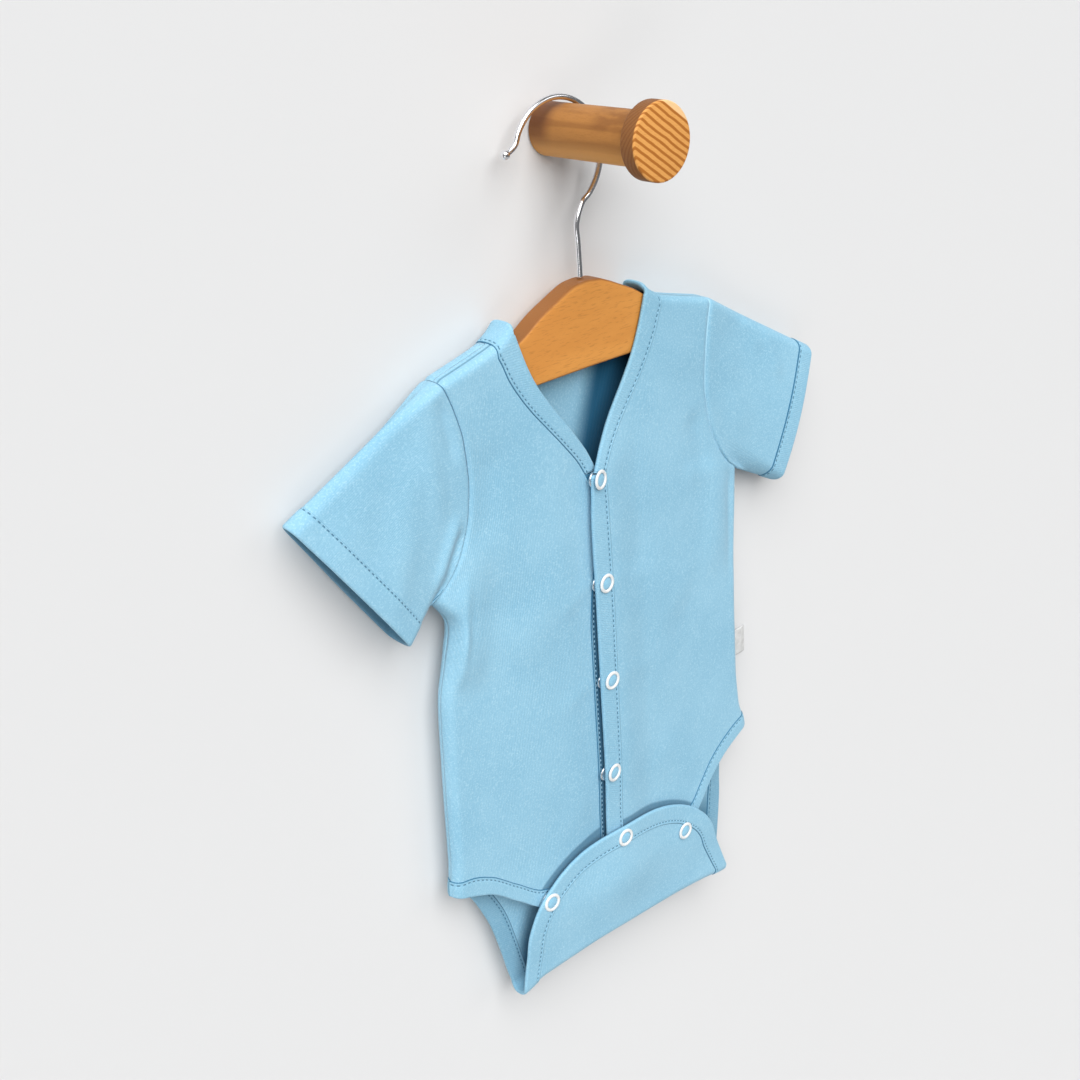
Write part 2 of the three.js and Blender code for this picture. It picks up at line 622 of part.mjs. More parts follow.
// Cut the back neckline along the seam of its binding
const CUT_REACH = 24;
function cutBackNeck(geometry) {
  const half = NECK_HALF + SEAM / 2;
  const startZ = SHOULDER_NECK_Z - SHOULDER_ROUND;
  const curve = NECK_ANGLES.map((angle) => neckCurve(angle, half, BACK_NECK_DROP + SEAM / 2));
  const corners = [[half, startZ + CUT_REACH], [half, startZ]];
  const rightSide = [...corners, ...curve.map(([dx, dz]) => [dx, startZ + dz])];
  const leftSide = rightSide.slice(0, -1).reverse().map(([dx, z]) => [-dx, z]);
  const outline = [...rightSide, ...leftSide].map(([dx, z]) => new THREE.Vector2(NECK_X + dx, z));
  const settings = { depth: CUT_REACH, bevelEnabled: false };
  const cutter = new THREE.ExtrudeGeometry(new THREE.Shape(outline), settings);
  cutter.rotateX(Math.PI / 2);
  cutter.translate(0, HANGER_Y + CUT_REACH, 0);
  return toGeometry(toSolid(geometry).subtract(toSolid(cutter)));
}

// A folded binding: three points across from seam to open edge at each station
function strip(stations) {
  const lift = (BAND - CLOTH) / 2;
  const rows = stations.map(({ seam, edge, face, layer }) => [0, 0.5, 1].map((t) => {
    return onBody(lerp(seam[0], edge[0], t), lerp(seam[1], edge[1], t), face, layer, lift);
  }));
  return wall(rows, BAND);
}

// Neck binding: up the left V, over the shoulder, round the back neck and down the right V
function neckBinding() {
  const seamHalf = NECK_HALF - SEAM;
  const side = (sign, layer) => {
    const at = (out, z) => [NECK_X + sign * out, z];
    const front = [...NECK].reverse().map(({ seam, seamZ, edge, edgeZ }) => (
      { seam: at(seam - SEAM, seamZ), edge: at(edge, edgeZ), face: -1, layer }));
    const over = (step, face) => {
      const drop = shoulderReach(step) * SHOULDER_ROUND;
      const seam = at(seamHalf, shoulderZ(NECK_X + sign * seamHalf) - drop);
      const edge = at(NECK_OPEN_HALF, shoulderZ(NECK_X + sign * NECK_OPEN_HALF) - drop);
      return { seam, edge, face, layer: 'plain' };
    };
    const rising = [1, 0.85, 0.5, 0].map((step) => over(step, -1));
    const falling = [0.5, 0.85, 1].map((step) => over(step, 1));
    const back = NECK_ANGLES.map((angle) => {
      const [seamX, seamDrop] = neckCurve(angle, seamHalf, BACK_NECK_DROP - SEAM / 2);
      const [edgeX, edgeDrop] = neckCurve(angle, NECK_OPEN_HALF, BACK_NECK_OPEN_DROP);
      const seam = at(seamX, SHOULDER_NECK_Z - SHOULDER_ROUND + seamDrop);
      const edge = at(edgeX, COLLAR_TOP_Z - SHOULDER_ROUND + edgeDrop);
      return { seam, edge, face: 1, layer: 'plain' };
    });
    return [...front, ...rising, ...falling, ...back];
  };
  return strip([...side(-1, 'under'), ...side(1, 'over').slice(0, -1).reverse()]);
}

// Placket band: the upper one on the right front, the under one on the left front
function placketBand(side) {
  const layer = side < 0 ? 'under' : 'over';
  const zs = [PLACKET_TOP_Z, ...placketZs(side).slice(1), PLACKET_END_Z];
  return strip(zs.map((z) => {
    const seamX = frontInnerX(side, z) - (side * SEAM) / 2;
    const edgeX = side < 0 ? seamX + BAND_WIDTH : read(PLACKET, 'z', z, 'lap');
    return { seam: [seamX, z], edge: [edgeX, z], face: -1, layer };
  }));
}

// Leg binding along the lower edge of a front
function frontLegBinding(side) {
  const seamXs = bottomXs(side, HIP_Z, placketFootZ(side));
  const edgeXs = bottomXs(side, HIP_CORNER_Z, PLACKET_END_Z);
  return strip(seamXs.map((x, j) => {
    const seam = [x, bottomZ(side, x, 'seamZ') - SEAM];
    const edge = [edgeXs[j], bottomZ(side, edgeXs[j], 'edgeZ')];
    return { seam, edge, face: -1, layer: side < 0 ? 'under' : 'over' };
  }));
}

// Long binding: down the left leg edge, round the fold, over the flap's arch and up the right leg edge
function backLegBinding() {
  const legs = (side) => {
    const name = sideName(side);
    const hipSeam = [sideX(side, HIP_Z) - side * ON_SEAM, HIP_Z - 2.5 * SEAM];
    const hipEdge = [sideX(side, HIP_CORNER_Z) - side * ON_SEAM, HIP_CORNER_Z];
    const rows = BACK_LEGS.map((row, k) => {
      const above = BACK_LEGS[k - 1] ?? { share: 0, [`${name}Seam`]: hipSeam[0] };
      const seamX = row[`${name}Seam`];
      const edgeX = row[`${name}Edge`];
      const seamZ = legHeight(seamX, row.share);
      const acrossX = seamX - above[`${name}Seam`];
      const downZ = seamZ - legHeight(above[`${name}Seam`], above.share);
      const shift = (1.5 * SEAM) / 2 / Math.hypot(acrossX, downZ);
      const seam = [seamX - side * downZ * shift, seamZ + side * acrossX * shift];
      return { seam, edge: [edgeX, legHeight(edgeX, row.share) - row.drop], face: 1, layer: 'plain' };
    });
    return [{ seam: hipSeam, edge: hipEdge, face: 1, layer: 'plain' }, ...rows];
  };
  const fold = (side, step, face) => {
    const layer = face < 0 ? 'flap' : 'plain';
    const seamX = lastLeg[`${sideName(side)}Seam`] + side * SEAM / 2;
    const edgeX = lastLeg[`${sideName(side)}Edge`];
    const up = sideReach(step) * FOLD_ROUND;
    return { seam: [seamX, foldZ(seamX) + up], edge: [edgeX, foldZ(edgeX) + up], face, layer };
  };
  const turn = (side) => [
    ...[0.85, 0.5, 0].map((step) => fold(side, step, 1)),
    ...[0.5, 0.85, 1].map((step) => fold(side, step, -1)),
  ];
  const rise = (side) => {
    const seams = flapSide(side, lastLeg[`${sideName(side)}Seam`] + side * SEAM / 2, BAND_WIDTH - SEAM / 2);
    const edges = flapSide(side, lastLeg[`${sideName(side)}Edge`], 0);
    return seams.slice(1, -1).map((seam, k) => ({ seam, edge: edges[k + 1], face: -1, layer: 'flap' }));
  };
  const half = (side) => [...legs(side), ...turn(side), ...rise(side)];
  const top = archTopShares.map((t) => (
    { seam: flapArch(t, BAND_WIDTH - SEAM / 2), edge: flapArch(t, 0), face: -1, layer: 'flap' }));
  return strip([...half(-1), ...top, ...half(1).reverse()]);
}

// Point on a sleeve, before its normal is known: column k of a ring, at a share of that column's
// length that is worked out from the length
const ARMHOLE_BLEND = 0.4;
const SLEEVE_END_FLATTEN = 0.25;
function sleevePoint(side, k, shareOf, face) {
  const { top, low, front, back } = SLEEVES[sideName(side)];
  const z0 = armholeZs(side)[k];
  const x0 = armholeX(side, z0);
  const atEdge = k === 0 || z0 === UNDERARM_Z;
  const seamHalf = atEdge ? 0 : Math.sqrt(Math.max(depthSquared(x0, z0, face, 'plain'), 0));
  const across = HEM_SHARES[k];
  const start = [x0 + side * (z0 === UNDERARM_Z ? UNDERARM_GAP : 1.5 * SEAM), z0];
  const end = [lerp(top[0], low[0], across), lerp(top[1], low[1], across)];
  const share = shareOf(Math.hypot(end[0] - start[0], end[1] - start[1]));
  const hemLength = Math.hypot(top[0] - low[0], top[1] - low[1]);
  const fromEdge = (Math.min(across, 1 - across) * hemLength) / SIDE_ROUND;
  const full = lerp(read(DEPTHS, 'z', UNDERARM_Z, 'edge'), face < 0 ? front : back, share);
  const flattened = 1 - SLEEVE_END_FLATTEN * (2 * across - 1) ** 2;
  const ownHalf = full * flattened * Math.sqrt(roundSquared(fromEdge));
  const half = lerp(seamHalf, ownHalf, smoothstep(share, 0, ARMHOLE_BLEND));
  const y = HANGER_Y + face * half;
  return new THREE.Vector3(lerp(start[0], end[0], share), y, lerp(start[1], end[1], share));
}

// Rings of a sleeve; their normals come from their neighbours, and at the armhole from the body
function sleeveRings(side, rings, lift, fromArmhole) {
  const last = HEM_SHARES.length - 1;
  const around = 2 * last;
  const ringAt = (shareOf) => [
    ...HEM_SHARES.map((_, k) => sleevePoint(side, k, shareOf, -1)),
    ...HEM_SHARES.slice(1, last).map((_, k) => sleevePoint(side, last - 1 - k, shareOf, 1)),
  ];
  const seamNormal = (j) => {
    const z = armholeZs(side)[j <= last ? j : around - j];
    if (z === UNDERARM_Z) return new THREE.Vector3(0, 0, -1);
    return onBody(armholeX(side, z), z, j <= last ? -1 : 1).normal;
  };
  return rings.map((shareOf, i) => {
    const before = ringAt((length) => Math.max(shareOf(length) - SLOPE_STEP, 0));
    const after = ringAt((length) => Math.min(shareOf(length) + SLOPE_STEP, 1));
    return ringAt(shareOf).map((point, j, ring) => {
      const lengthwise = after[j].clone().sub(before[j]);
      const acrossRing = ring[(j + 1) % around].clone().sub(ring[(j - 1 + around) % around]);
      const ownNormal = acrossRing.cross(lengthwise).multiplyScalar(side).normalize();
      const normal = fromArmhole && i === 0 ? seamNormal(j) : ownNormal;
      return { point: point.addScaledVector(normal, lift), normal };
    });
  });
}
const sleeve = (side) => {
  const rings = SLEEVE_RINGS.map((v) => (length) => v * (1 - (SLEEVE_HEM + SEAM) / length));
  return wall(sleeveRings(side, rings, 0, true), CLOTH, true);
};
const sleeveHem = (side) => {
  const rings = [1, 0.5, 0].map((v) => (length) => 1 - (v * SLEEVE_HEM) / length);
  return wall(sleeveRings(side, rings, (BAND - CLOTH) / 2, false), BAND, true);
};

// Ring cap of a snap: a low round-topped ring
function snapRing() {
  const inner = SNAP_HOLE / 2;
  const outer = SNAP_DIAMETER / 2;
  const profile = [
    [inner, 0],
    [outer, 0],
    [outer, SNAP_HEIGHT / 2],
    [lerp(outer, inner, 0.3), SNAP_HEIGHT],
    [lerp(outer, inner, 0.7), SNAP_HEIGHT],
    [inner, SNAP_HEIGHT / 2],
    [inner, 0],
  ];
  return new THREE.LatheGeometry(profile.map(([r, y]) => new THREE.Vector2(r, y)), 14);
}

const group = new THREE.Group();
function add(name, geometry, material) {
  const mesh = new THREE.Mesh(geometry, material);
  mesh.name = name;
  group.add(mesh);
  return mesh;
}

// A snap: its ring on the upper layer, and its socket between the two layers that it joins
function addSnap(number, x, z, layer, socketLift, socketHeight) {
  const radius = SOCKET_DIAMETER / 2;
  const disc = new THREE.CylinderGeometry(radius, radius, socketHeight, 12);
  const ring = add(`snap_ring_${number}`, snapRing(), enamelFinish());
  const socket = add(`snap_socket_${number}`, disc, steelFinish());
  const up = new THREE.Vector3(0, 1, 0);
  for (const [mesh, lift] of [[ring, RING_LIFT], [socket, socketLift]]) {
    const { point, normal } = onBody(x, z, -1, layer, lift);
    mesh.position.copy(point);
    mesh.quaternion.setFromUnitVectors(up, normal);
  }
}

function hangerOutline() {
  const right = HANGER_OUTLINE.map(({ out, z }) => [out, z]);
  const left = right.slice(1, -1).reverse().map(([dx, z]) => [-dx, z]);
  return [...right, ...left].map(([dx, z]) => new THREE.Vector2(STEM_X + dx, z));
}

function hanger() {
  const settings = {
    depth: HANGER_THICKNESS - 2 * HANGER_EDGE,
    bevelThickness: HANGER_EDGE,
    bevelSize: HANGER_EDGE,
    bevelOffset: -HANGER_EDGE,
    bevelSegments: 1,
  };
  const geometry = new THREE.ExtrudeGeometry(new THREE.Shape(hangerOutline()), settings);
  geometry.rotateX(Math.PI / 2);
  geometry.translate(0, HANGER_Y + HANGER_THICKNESS / 2 - HANGER_EDGE, 0);
  return geometry;
}

// Hook: a round wire from the ball tip, over the peg and down to the hanger
function hook() {
  const inPlane = ({ x, z }) => new THREE.Vector3(x, HANGER_Y, z);
  const bend = steps(18).map((t) => {
    const angle = THREE.MathUtils.degToRad(lerp(HOOK_START_ANGLE, HOOK_END_ANGLE, t));
    const x = HOOK_CENTRE_X + HOOK_RADIUS * Math.cos(angle);
    return inPlane({ x, z: HOOK_CENTRE_Z + HOOK_RADIUS * Math.sin(angle) });
  });
  const points = [...HOOK_TIP.map(inPlane), ...bend, ...HOOK_STEM.map(inPlane)];
  const path = new THREE.CatmullRomCurve3(points, false, 'centripetal');
  const section = new THREE.Shape(steps(8).slice(1).map((t) => {
    return new THREE.Vector2(Math.cos(2 * Math.PI * t), Math.sin(2 * Math.PI * t)).multiplyScalar(WIRE / 2);
  }));
  const wire = new THREE.ExtrudeGeometry(section, { steps: 46, extrudePath: path, bevelEnabled: false });
  const ball = new THREE.SphereGeometry(HOOK_BALL / 2, 10, 8);
  ball.translate(...points[0].toArray());
  return toGeometry(toSolid(wire).add(toSolid(ball)));
}

function peg() {
  const radius = PEG_DIAMETER / 2;
  const geometry = new THREE.CylinderGeometry(radius, radius, PEG_LENGTH, ROUND_SIDES);
  geometry.translate(0, -PEG_LENGTH / 2, 0);
  return geometry;
}

function knob() {
  const r = KNOB_DIAMETER / 2;
  const start = -PEG_LENGTH - SEAM;
  const end = start - KNOB_THICKNESS;
  const profile = [
    [0, end],
    [r - KNOB_EDGE, end],
    [r, end + KNOB_EDGE],
    [r, start - KNOB_EDGE],
    [r - KNOB_EDGE, start],
    [0, start],
  ];
  return new THREE.LatheGeometry(profile.map(([x, y]) => new THREE.Vector2(x, y)), ROUND_SIDES);
}

add('front_left', frontPanel(-1), clothFinish());
add('front_right', frontPanel(1), clothFinish());
add('back', backPanel(), clothFinish());
for (const side of [-1, 1]) {
  const name = sideName(side);
  add(`sleeve_${name}`, sleeve(side), clothFinish());
  add(`sleeve_hem_${name}`, sleeveHem(side), clothFinish());
  add(`placket_${name}`, placketBand(side), clothFinish());
  add(`leg_binding_${name}`, frontLegBinding(side), clothFinish());
}
add('neck_binding', neckBinding(), clothFinish());
add('crotch_binding', backLegBinding(), clothFinish());

for (let i = 0; i < PLACKET_SNAPS; i += 1) {
  addSnap(i + 1, SNAP_X, FIRST_SNAP_Z - i * SNAP_SPACING, 'over', SOCKET_LIFT, SOCKET_HEIGHT);
}
FLAP_SNAPS.forEach(({ x, z }, i) => {
  addSnap(PLACKET_SNAPS + 1 + i, x, z, 'flap', FLAP_SOCKET_LIFT, FLAP_SOCKET_HEIGHT);
});

const labelTape = new THREE.BoxGeometry(LABEL_WIDTH, LABEL_THICKNESS, LABEL_HEIGHT);
const label = add('side_label', labelTape, labelFinish());
label.position.set(sideX(1, LABEL_Z) + SEAM + LABEL_WIDTH / 2, HANGER_Y, LABEL_Z);

add('hanger', hanger(), woodFinish());
add('hanger_hook', hook(), steelFinish());
add('peg', peg(), pegFinish());
add('peg_knob', knob(), pegFinish());

export default group;
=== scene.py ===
import math

import bpy
import numpy as np
from mathutils import Matrix, Vector


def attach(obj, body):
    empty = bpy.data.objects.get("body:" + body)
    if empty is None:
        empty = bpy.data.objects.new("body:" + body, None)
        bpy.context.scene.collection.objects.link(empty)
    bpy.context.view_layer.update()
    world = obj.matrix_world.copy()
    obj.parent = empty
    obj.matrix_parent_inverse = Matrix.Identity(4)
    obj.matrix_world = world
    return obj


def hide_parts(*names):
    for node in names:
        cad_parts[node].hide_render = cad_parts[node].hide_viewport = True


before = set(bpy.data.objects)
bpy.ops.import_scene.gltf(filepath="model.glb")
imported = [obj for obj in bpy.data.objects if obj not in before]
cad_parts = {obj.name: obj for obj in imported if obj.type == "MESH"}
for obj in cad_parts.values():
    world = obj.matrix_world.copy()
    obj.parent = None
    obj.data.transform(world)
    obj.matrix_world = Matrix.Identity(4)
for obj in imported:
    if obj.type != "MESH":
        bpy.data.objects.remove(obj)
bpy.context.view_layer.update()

scene = bpy.context.scene
scene.view_settings.view_transform = "Standard"

# Camera, from the left and above, at the height of the neck.
# It stands where the peg, the neck, the hem corners and the snaps line up as in the picture.
CAMERA_PLACE = (-0.4278, -0.4939, 0.1019)
CAMERA_YAW = math.radians(42.02)
CAMERA_PITCH = math.radians(24.10)
CAMERA_ROLL = math.radians(-3.54)
FOCAL_PIXELS = 1445.9
PICTURE_PIXELS = 1080
AXIS_PIXEL = (601.5, 519.6)
FILM_WIDTH = 36

level = math.cos(CAMERA_PITCH)
looking = Vector((math.sin(CAMERA_YAW) * level, math.cos(CAMERA_YAW) * level, -math.sin(CAMERA_PITCH)))
sideways = Vector((math.cos(CAMERA_YAW), -math.sin(CAMERA_YAW), 0))
upwards = sideways.cross(looking)
camera_right = sideways * math.cos(CAMERA_ROLL) + upwards * math.sin(CAMERA_ROLL)
camera_up = upwards * math.cos(CAMERA_ROLL) - sideways * math.sin(CAMERA_ROLL)
camera = bpy.data.objects.new("camera", bpy.data.cameras.new("camera"))
camera.matrix_world = (
    Matrix.Translation(CAMERA_PLACE)
    @ Matrix((camera_right, camera_up, -looking)).transposed().to_4x4()
)
camera.data.sensor_width = FILM_WIDTH
camera.data.lens = FILM_WIDTH * FOCAL_PIXELS / PICTURE_PIXELS
camera.data.shift_x = (PICTURE_PIXELS / 2 - AXIS_PIXEL[0]) / PICTURE_PIXELS
camera.data.shift_y = (AXIS_PIXEL[1] - PICTURE_PIXELS / 2) / PICTURE_PIXELS
camera.data.clip_start = 0.01
scene.collection.objects.link(camera)
scene.camera = camera


# Wall, floor and light: a plain pale wall that the peg stands on, with a floor two metres below.
# The key light comes from the upper left. Three weaker lights and a pale room fill the shadows.
WALL_HALF = 2.5
WALL_Y = 0.0006
FLOOR_Z = -2.0
CEILING_Z = 1.6
COVE_RADIUS = 0.3
WALL_WHITE = (0.75, 0.75, 0.75, 1)
FLOOR_GREY = (0.42, 0.42, 0.42, 1)
ROOM_WHITE = (0.96, 0.975, 1.0, 1)
ROOM_STRENGTH = 0.15
# Lights: name, direction of travel, width of the source in degrees, strength
LIGHTS = [
    ("key", (0.3, 0.66, -0.69), 60, 3.8),
    ("low_fill", (0.6, 0.6, 0.4), 26, 0.3),
    ("right_fill", (-0.6, 0.7, -0.38), 28, 0.25),
    ("back_fill", (0.4, -0.7, -0.6), 70, 0.9),
]


class Value:
    """A shader socket in a sum: each operator adds the Math node that works it out."""

    def __init__(self, finish, socket):
        self.finish = finish
        self.socket = socket

    def math(self, operation, *terms):
        node = self.finish.node("ShaderNodeMath", {"operation": operation}, dict(enumerate(terms)))
        return Value(self.finish, node.outputs[0])

    def __add__(self, other):
        return self.math("ADD", self, other)

    def __mul__(self, other):
        return self.math("MULTIPLY", self, other)

    def __sub__(self, other):
        return self.math("SUBTRACT", self, other)

    def __rsub__(self, other):
        return self.math("SUBTRACT", other, self)

    __radd__ = __add__
    __rmul__ = __mul__

    def sine(self):
        return self.math("SINE", self)

    def size(self):
        return self.math("ABSOLUTE", self)

    def clamped(self, low, high):
        """0 at low, 1 at high, and a smooth step between."""
        settings = {"interpolation_type": "SMOOTHSTEP"}
        node = self.finish.node("ShaderNodeMapRange", settings, {0: self, 1: low, 2: high})
        return Value(self.finish, node.outputs[0])


class Finish:
    """A material, with one method that adds a node: its settings first, then its sockets."""

    def __init__(self, name, constants=()):
        self.material = bpy.data.materials.new(name)
        self.material.use_nodes = True
        self.tree = self.material.node_tree
        self.shader = self.tree.nodes["Principled BSDF"]
        for socket, value in dict(constants).items():
            self.shader.inputs[socket].default_value = value

    def node(self, kind, settings=(), sockets=()):
        node = self.tree.nodes.new(kind)
        for name, value in dict(settings).items():
            if name == "stops":
                for place, colour in value:
                    stop = node.color_ramp.elements.new(place)
                    stop.color = colour
                node.color_ramp.elements.remove(node.color_ramp.elements[-1])
                node.color_ramp.elements.remove(node.color_ramp.elements[0])
            else:
                setattr(node, name, value)
        for name, value in dict(sockets).items():
            self.feed(node.inputs[name], value)
        return node

    def feed(self, socket, value):
        if isinstance(value, Value):
            self.tree.links.new(value.socket, socket)
        elif isinstance(value, bpy.types.NodeSocket):
            self.tree.links.new(value, socket)
        else:
            socket.default_value = value

    def mix(self, share, first, second, blend="MIX"):
        """First colour where share is 0, second where it is 1."""
        settings = {"data_type": "RGBA", "blend_type": blend}
        return self.node("ShaderNodeMix", settings, {0: share, 6: first, 7: second}).outputs[2]

    def noise(self, vector, scale, detail=3, roughness=0.5):
        settings = {"Vector": vector, "Scale": scale, "Detail": detail, "Roughness": roughness}
        return Value(self, self.node("ShaderNodeTexNoise", (), settings).outputs[0])

    def stretched(self, vector, scale, turn=(0, 0, 0)):
        inputs = {"Vector": vector, "Scale": scale, "Rotation": turn}
        return self.node("ShaderNodeMapping", (), inputs).outputs[0]

    def relief(self, height, distance, strength=1):
        sockets = {"Height": height, "Distance": distance, "Strength": strength}
        self.feed(self.shader.inputs["Normal"], self.node("ShaderNodeBump", (), sockets).outputs[0])


def stage_sheet(name, section, material):
    """Sheet on the stage: a section of y and z carried along x, facing the camera."""
    section = np.array(section)
    across = np.array([-WALL_HALF, WALL_HALF])
    x, y = np.meshgrid(across, section[:, 0])
    z = np.meshgrid(across, section[:, 1])[1]
    points = np.stack([x, y, z], -1).reshape(-1, 3)
    first = np.arange(len(section) - 1) * 2
    quads = np.stack([first, first + 2, first + 3, first + 1], 1)
    mesh = bpy.data.meshes.new(name)
    mesh.from_pydata(points.tolist(), [], quads.tolist())
    mesh.polygons.foreach_set("use_smooth", [True] * len(quads))
    mesh.materials.append(material)
    sheet_object = bpy.data.objects.new(name, mesh)
    scene.collection.objects.link(sheet_object)
    return sheet_object


wall_paint = Finish("wall_paint", {"Roughness": 1, "Specular IOR Level": 0})
wall_spots = wall_paint.node("ShaderNodeTexCoord").outputs["Object"]
wall_shade = wall_paint.noise(wall_spots, 2).clamped(0.2, 0.8)
wall_height = wall_paint.node("ShaderNodeSeparateXYZ", (), {0: wall_spots}).outputs["Z"]
wall_above = Value(wall_paint, wall_height).clamped(-1.7, -1.3)
wall_colour = wall_paint.mix(wall_above - wall_shade * 0.01, FLOOR_GREY, WALL_WHITE)
wall_paint.feed(wall_paint.shader.inputs["Base Color"], wall_colour)
behind = wall_paint.node("ShaderNodeNewGeometry").outputs["Backfacing"]
see_through = wall_paint.node("ShaderNodeBsdfTransparent")
one_sided = wall_paint.node("ShaderNodeMixShader", (), {0: behind, 1: wall_paint.shader.outputs[0]})
wall_paint.feed(one_sided.inputs[2], see_through.outputs[0])
wall_paint.feed(wall_paint.tree.nodes["Material Output"].inputs[0], one_sided.outputs[0])

cove_turn = np.linspace(0, math.pi / 2, 16)
cove_y = WALL_Y - COVE_RADIUS * (1 - np.cos(cove_turn))
cove_z = FLOOR_Z + COVE_RADIUS * (1 - np.sin(cove_turn))
wall_section = [(WALL_Y, CEILING_Z), *zip(cove_y, cove_z), (-WALL_HALF, FLOOR_Z)]
stage_sheet("wall_and_floor", wall_section, wall_paint.material)

for light_name, travel, width, strength in LIGHTS:
    light = bpy.data.objects.new(light_name, bpy.data.lights.new(light_name, "SUN"))
    light.data.energy = strength
    light.data.angle = math.radians(width)
    light.rotation_euler = Vector(travel).to_track_quat("-Z", "Y").to_euler()
    scene.collection.objects.link(light)

room = bpy.data.worlds.new("room")
room.use_nodes = True
room.node_tree.nodes["Background"].inputs["Color"].default_value = ROOM_WHITE
room.node_tree.nodes["Background"].inputs["Strength"].default_value = ROOM_STRENGTH
scene.world = room


# Wall peg: a turned rod of oiled brown wood, glued or screwed to the wall by its flat back end.
# The front end is hidden under the knob.
PEG_RADIUS = 11.75
PEG_LENGTH = 62.0
PEG_EDGE = 0.5


def grid_faces(rows, columns, looped=True):
    """Four-cornered faces of a grid of points; a looped grid closes on itself along each row.

    Face (i, j) joins the points (i, j), (i, j + 1), (i + 1, j + 1) and (i + 1, j).
    """
    spans = columns if looped else columns - 1
    row, column = np.meshgrid(np.arange(rows - 1), np.arange(spans), indexing="ij")
    after = (column + 1) % columns
    here, below = row * columns, (row + 1) * columns
    return np.stack([here + column, here + after, below + after, below + column], -1).reshape(-1, 4)


def turned(profile, sides):
    """Lathe form: a profile of rows (radius, height) turned about the height axis.

    Point (i, j) lies at radius r_i and angle 2 pi j / sides; both ends lie near the axis.
    """
    profile = np.asarray(profile, float)
    angle = np.arange(sides) * 2 * math.pi / sides
    x = profile[:, :1] * np.cos(angle)
    y = profile[:, :1] * np.sin(angle)
    z = np.broadcast_to(profile[:, 1:], x.shape)
    return np.stack([x, y, z], -1).reshape(-1, 3), grid_faces(len(profile), sides)


def close_ends(points, quads, sides):
    """Close the two ends of a tube of rings with a fan of faces to each end's centre."""
    rings = len(points) // sides
    first = points[:sides].mean(0)
    last = points[-sides:].mean(0)
    around = np.arange(sides)
    after = (around + 1) % sides
    start = np.stack([np.full(sides, len(points)), after, around, around], 1)[:, :3]
    base = (rings - 1) * sides
    end = np.stack([np.full(sides, len(points) + 1), base + around, base + after], 1)
    faces = [*quads.tolist(), *start.tolist(), *end.tolist()]
    return np.vstack([points, first, last]), faces


def put_solid(name, points, faces, finish):
    """Piece of a closed form, whose faces are turned outwards by the sign of its volume."""
    ring = np.array([face[:3] for face in faces])
    corner = points[ring]
    volume = np.einsum("ij,ij->", corner[:, 0], np.cross(corner[:, 1], corner[:, 2]))
    if volume < 0:
        faces = [face[::-1] for face in faces]
    mesh = bpy.data.meshes.new(name)
    mesh.from_pydata((points / 1000).tolist(), [], faces)
    mesh.validate()
    mesh.polygons.foreach_set("use_smooth", [True] * len(mesh.polygons))
    mesh.materials.append(finish.material)
    piece = bpy.data.objects.new(name, mesh)
    scene.collection.objects.link(piece)
    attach(piece, "root")
    return piece


def rounded_edge(radius, at, towards, edge, count=5):
    """Quarter round of a turned edge, from the flat face to the side: rows (radius, height)."""
    turn = np.linspace(0, math.pi / 2, count)
    side = math.copysign(edge, towards)
    return np.stack([radius - edge + edge * np.sin(turn), at + side * (1 - np.cos(turn))], 1)


def wood(name, pale, dark, stretch, turn, bands, roughness):
    """Oiled wood: bands of late wood along the grain, with fine pores stretched along it.

    bands are the pace across the grain in radians a millimetre, the wander, the two ends of the step
    from early to late wood, and the share of the dark colour. Returns the finish, the colour, the
    place in metres and the line across the grain in millimetres.
    """
    finish = Finish(name, {"Roughness": roughness, "Specular IOR Level": 0.22})
    spot = finish.node("ShaderNodeTexCoord").outputs["Object"]
    grain = finish.stretched(spot, stretch, turn)
    wander = finish.noise(grain, 1.0, 2)
    axis = finish.node("ShaderNodeSeparateXYZ", (), {0: finish.stretched(spot, (1000, 1000, 1000), turn)})
    line = Value(finish, axis.outputs["Z"])
    ring = (line * bands[0] + wander * bands[1]).sine() * 0.5 + 0.5
    pore = finish.noise(finish.stretched(grain, (2, 9, 9)), 3.0, 4, 0.7)
    late = ring.clamped(bands[2], bands[3])
    colour = finish.mix(late * bands[4], pale, dark)
    shaded = finish.mix(pore.clamped(0.45, 0.75) * 0.35, colour, dark)
    finish.relief(pore * 0.5 + late * 0.5, 0.00015, 0.5)
    return finish, shaded, spot, line


peg_wood, peg_colour, peg_spot = wood(
    "peg_wood", (0.43, 0.185, 0.045, 1), (0.23, 0.085, 0.02, 1), (110, 12, 110), (0, 0, 0),
    (0.8, 9.0, 0.35, 0.95, 0.5), 0.5,
)[:3]
peg_place = peg_wood.node("ShaderNodeSeparateXYZ", (), {0: peg_spot})
peg_high = Value(peg_wood, peg_place.outputs["Z"])
peg_out = Value(peg_wood, peg_place.outputs["Y"])
peg_cloud = peg_wood.noise(peg_wood.stretched(peg_spot, (160, 50, 160)), 1.0, 3).clamped(0.35, 0.55)
# Painted shadow over dark figure: the wall end is darkened, most at the top, under the hook.
peg_wall_end_shadow_and_figure = peg_out.clamped(-0.017, -0.007) * (peg_high.clamped(-0.009, 0.006) * 0.5 + 0.35)
# The top next to the knob darkens in a cloudy patch.
knob_end = (peg_out * -1).clamped(0.034, 0.046) * peg_high.clamped(0.001, 0.007) * peg_cloud * 0.5
peg_colour = peg_wood.mix(peg_wall_end_shadow_and_figure + knob_end, peg_colour, (0.13, 0.04, 0.012, 1))
# Painted light: the underside is painted lighter and more orange, as if lit from below.
peg_underside_painted_light = (peg_high * -1).clamped(0, 0.009)
peg_colour = peg_wood.mix(peg_underside_painted_light * 0.85, peg_colour, (0.74, 0.35, 0.09, 1))
peg_wood.feed(peg_wood.shader.inputs["Base Color"], peg_colour)
